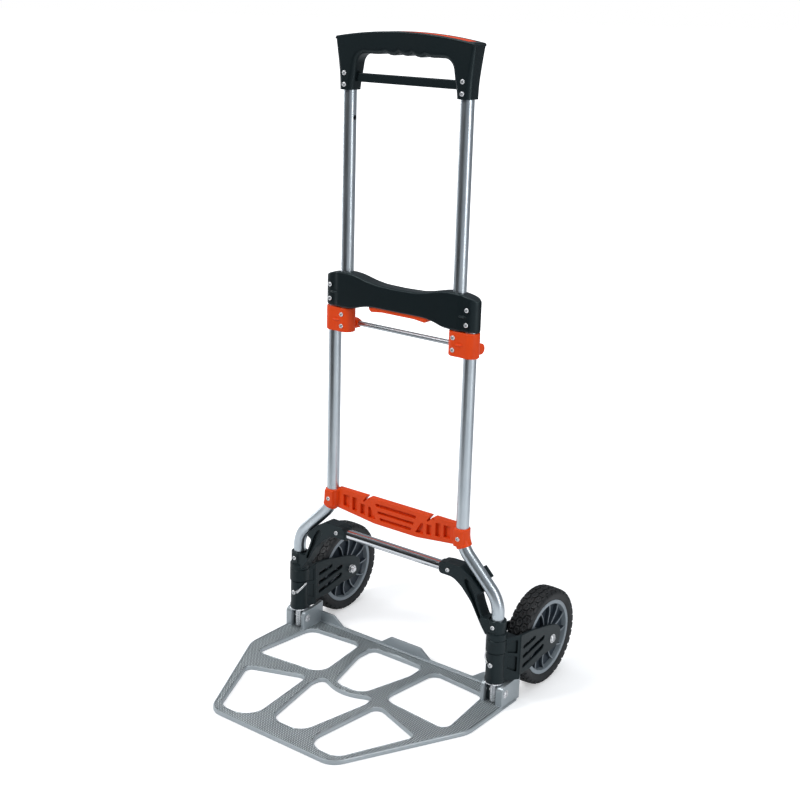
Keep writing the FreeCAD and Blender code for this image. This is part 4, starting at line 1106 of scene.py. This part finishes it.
tyre_shape, rim_shape = tyre(), rim()
for side, name in SIDES:
    move = Matrix.Translation((side * WHEEL_X, HUB_Y, HUB_Z))
    placed = Shape().merge(tyre_shape, move)
    make(placed, f"{name}_tyre_tread", rubber, f"{name}_wheel", f"{name}_tyre")
    placed = Shape().merge(rim_shape if side > 0 else rim_shape.mirrored(), move)
    make(placed, f"{name}_rim_moulding", [rim_grey, rim_shaded_grey], f"{name}_wheel", f"{name}_rim")


# ---- floor, camera and light
floor_mesh = bpy.data.meshes.new("floor")
floor_mesh.from_pydata([(-300, -300, 0), (300, -300, 0), (300, 300, 0), (-300, 300, 0)], [], [(0, 1, 2, 3)])
floor = new_object("floor", floor_mesh)
pale, nodes, links, shader = new_material("pale_floor")
set_inputs(shader, {"Base Color": (0.86, 0.87, 0.88, 1), "Roughness": 0.9, "Emission Color": (1, 1, 1, 1)})
away = nodes.new("ShaderNodeVectorMath")
away.operation = "LENGTH"
links.new(nodes.new("ShaderNodeTexCoord").outputs["Object"], away.inputs[0])
glow = remap(nodes, links, away.outputs["Value"], 0.42, 1.2, 0.7, 2.2)
seen = nodes.new("ShaderNodeMath")
seen.operation = "MULTIPLY"
links.new(glow, seen.inputs[0])
links.new(nodes.new("ShaderNodeLightPath").outputs["Is Camera Ray"], seen.inputs[1])
links.new(seen.outputs[0], shader.inputs["Emission Strength"])
floor_mesh.materials.append(pale)

AZ, EL, ROLL = radians(36.876), radians(17.026), radians(1.6265)
TARGET, DISTANCE = Vector((-6.137, 12.0, 500.143)) * MM, 2.3209
ahead = Vector((-sin(AZ) * cos(EL), cos(AZ) * cos(EL), -sin(EL)))
right = Vector((cos(AZ), sin(AZ), 0))
down = ahead.cross(right)
tilted_right = right * cos(ROLL) - down * sin(ROLL)
tilted_down = right * sin(ROLL) + down * cos(ROLL)
camera_data = bpy.data.cameras.new("camera")
camera_data.sensor_width = 36.0
camera_data.lens = 1349.13 / 800 * 36.0
camera_data.clip_end = 50
camera = new_object("camera", camera_data)
basis = Matrix((tilted_right, -tilted_down, -ahead)).transposed().to_4x4()
camera.matrix_world = Matrix.Translation(TARGET - ahead * DISTANCE) @ basis
bpy.context.scene.camera = camera


def softbox(name, place, aim, size, power):
    """Rectangular lamp at a place, aimed at a point."""
    data = bpy.data.lights.new(name, "AREA")
    data.shape = "RECTANGLE"
    data.size, data.size_y = size
    data.energy = power
    lamp = new_object(name, data)
    lamp.location = place
    lamp.rotation_euler = (Vector(aim) - Vector(place)).to_track_quat("-Z", "Y").to_euler()


def card(name, angle, distance, width, shade):
    """Standing card that only reflections see."""
    turn = radians(angle)
    out, along = Vector((cos(turn), sin(turn), 0)), Vector((-sin(turn), cos(turn), 0))
    ends = [out * distance + along * width / 2, out * distance - along * width / 2]
    mesh = bpy.data.meshes.new(name)
    mesh.from_pydata([ends[0], ends[1], ends[1] + Vector((0, 0, 1.9)), ends[0] + Vector((0, 0, 1.9))],
                     [], [(0, 1, 2, 3)])
    mat, nodes, links, shader = new_material(name)
    set_inputs(shader, {"Base Color": (shade, shade, shade, 1), "Roughness": 1.0})
    mesh.materials.append(mat)
    obj = new_object(name, mesh)
    obj.visible_camera = obj.visible_diffuse = obj.visible_shadow = obj.visible_transmission = False


card("left_card", -106, 1.0, 1.5, 0.03)
card("right_card", 46, 1.0, 0.3, 0.2)
softbox("key", (-1.2, -2.2, 2.6), (0, 0, 0.5), (0.9, 0.9), 50)
softbox("right_strip", (2.3, -0.2, 1.3), (0, 0, 0.6), (0.7, 2.2), 20)
softbox("left_strip", (-2.2, 0.3, 1.2), (0, 0, 0.6), (0.6, 2), 12)
softbox("top", (0.2, 0.2, 3), (0, 0, 0), (2.2, 2.2), 30)

world = bpy.data.worlds.new("studio")
bpy.context.scene.world = world
world.use_nodes = True
tree = world.node_tree
backdrop = set_inputs(tree.nodes["Background"], {"Color": (1, 1, 1, 1)})
ambient = add_node(tree.nodes, "Background", {"Color": (0.86, 0.92, 1.0, 1), "Strength": 0.27})
mix = tree.nodes.new("ShaderNodeMixShader")
path = tree.nodes.new("ShaderNodeLightPath")
tree.links.new(path.outputs["Is Camera Ray"], mix.inputs[0])
tree.links.new(ambient.outputs[0], mix.inputs[1])
tree.links.new(backdrop.outputs[0], mix.inputs[2])
tree.links.new(mix.outputs[0], tree.nodes["World Output"].inputs[0])
bpy.context.scene.view_settings.view_transform = "Standard"
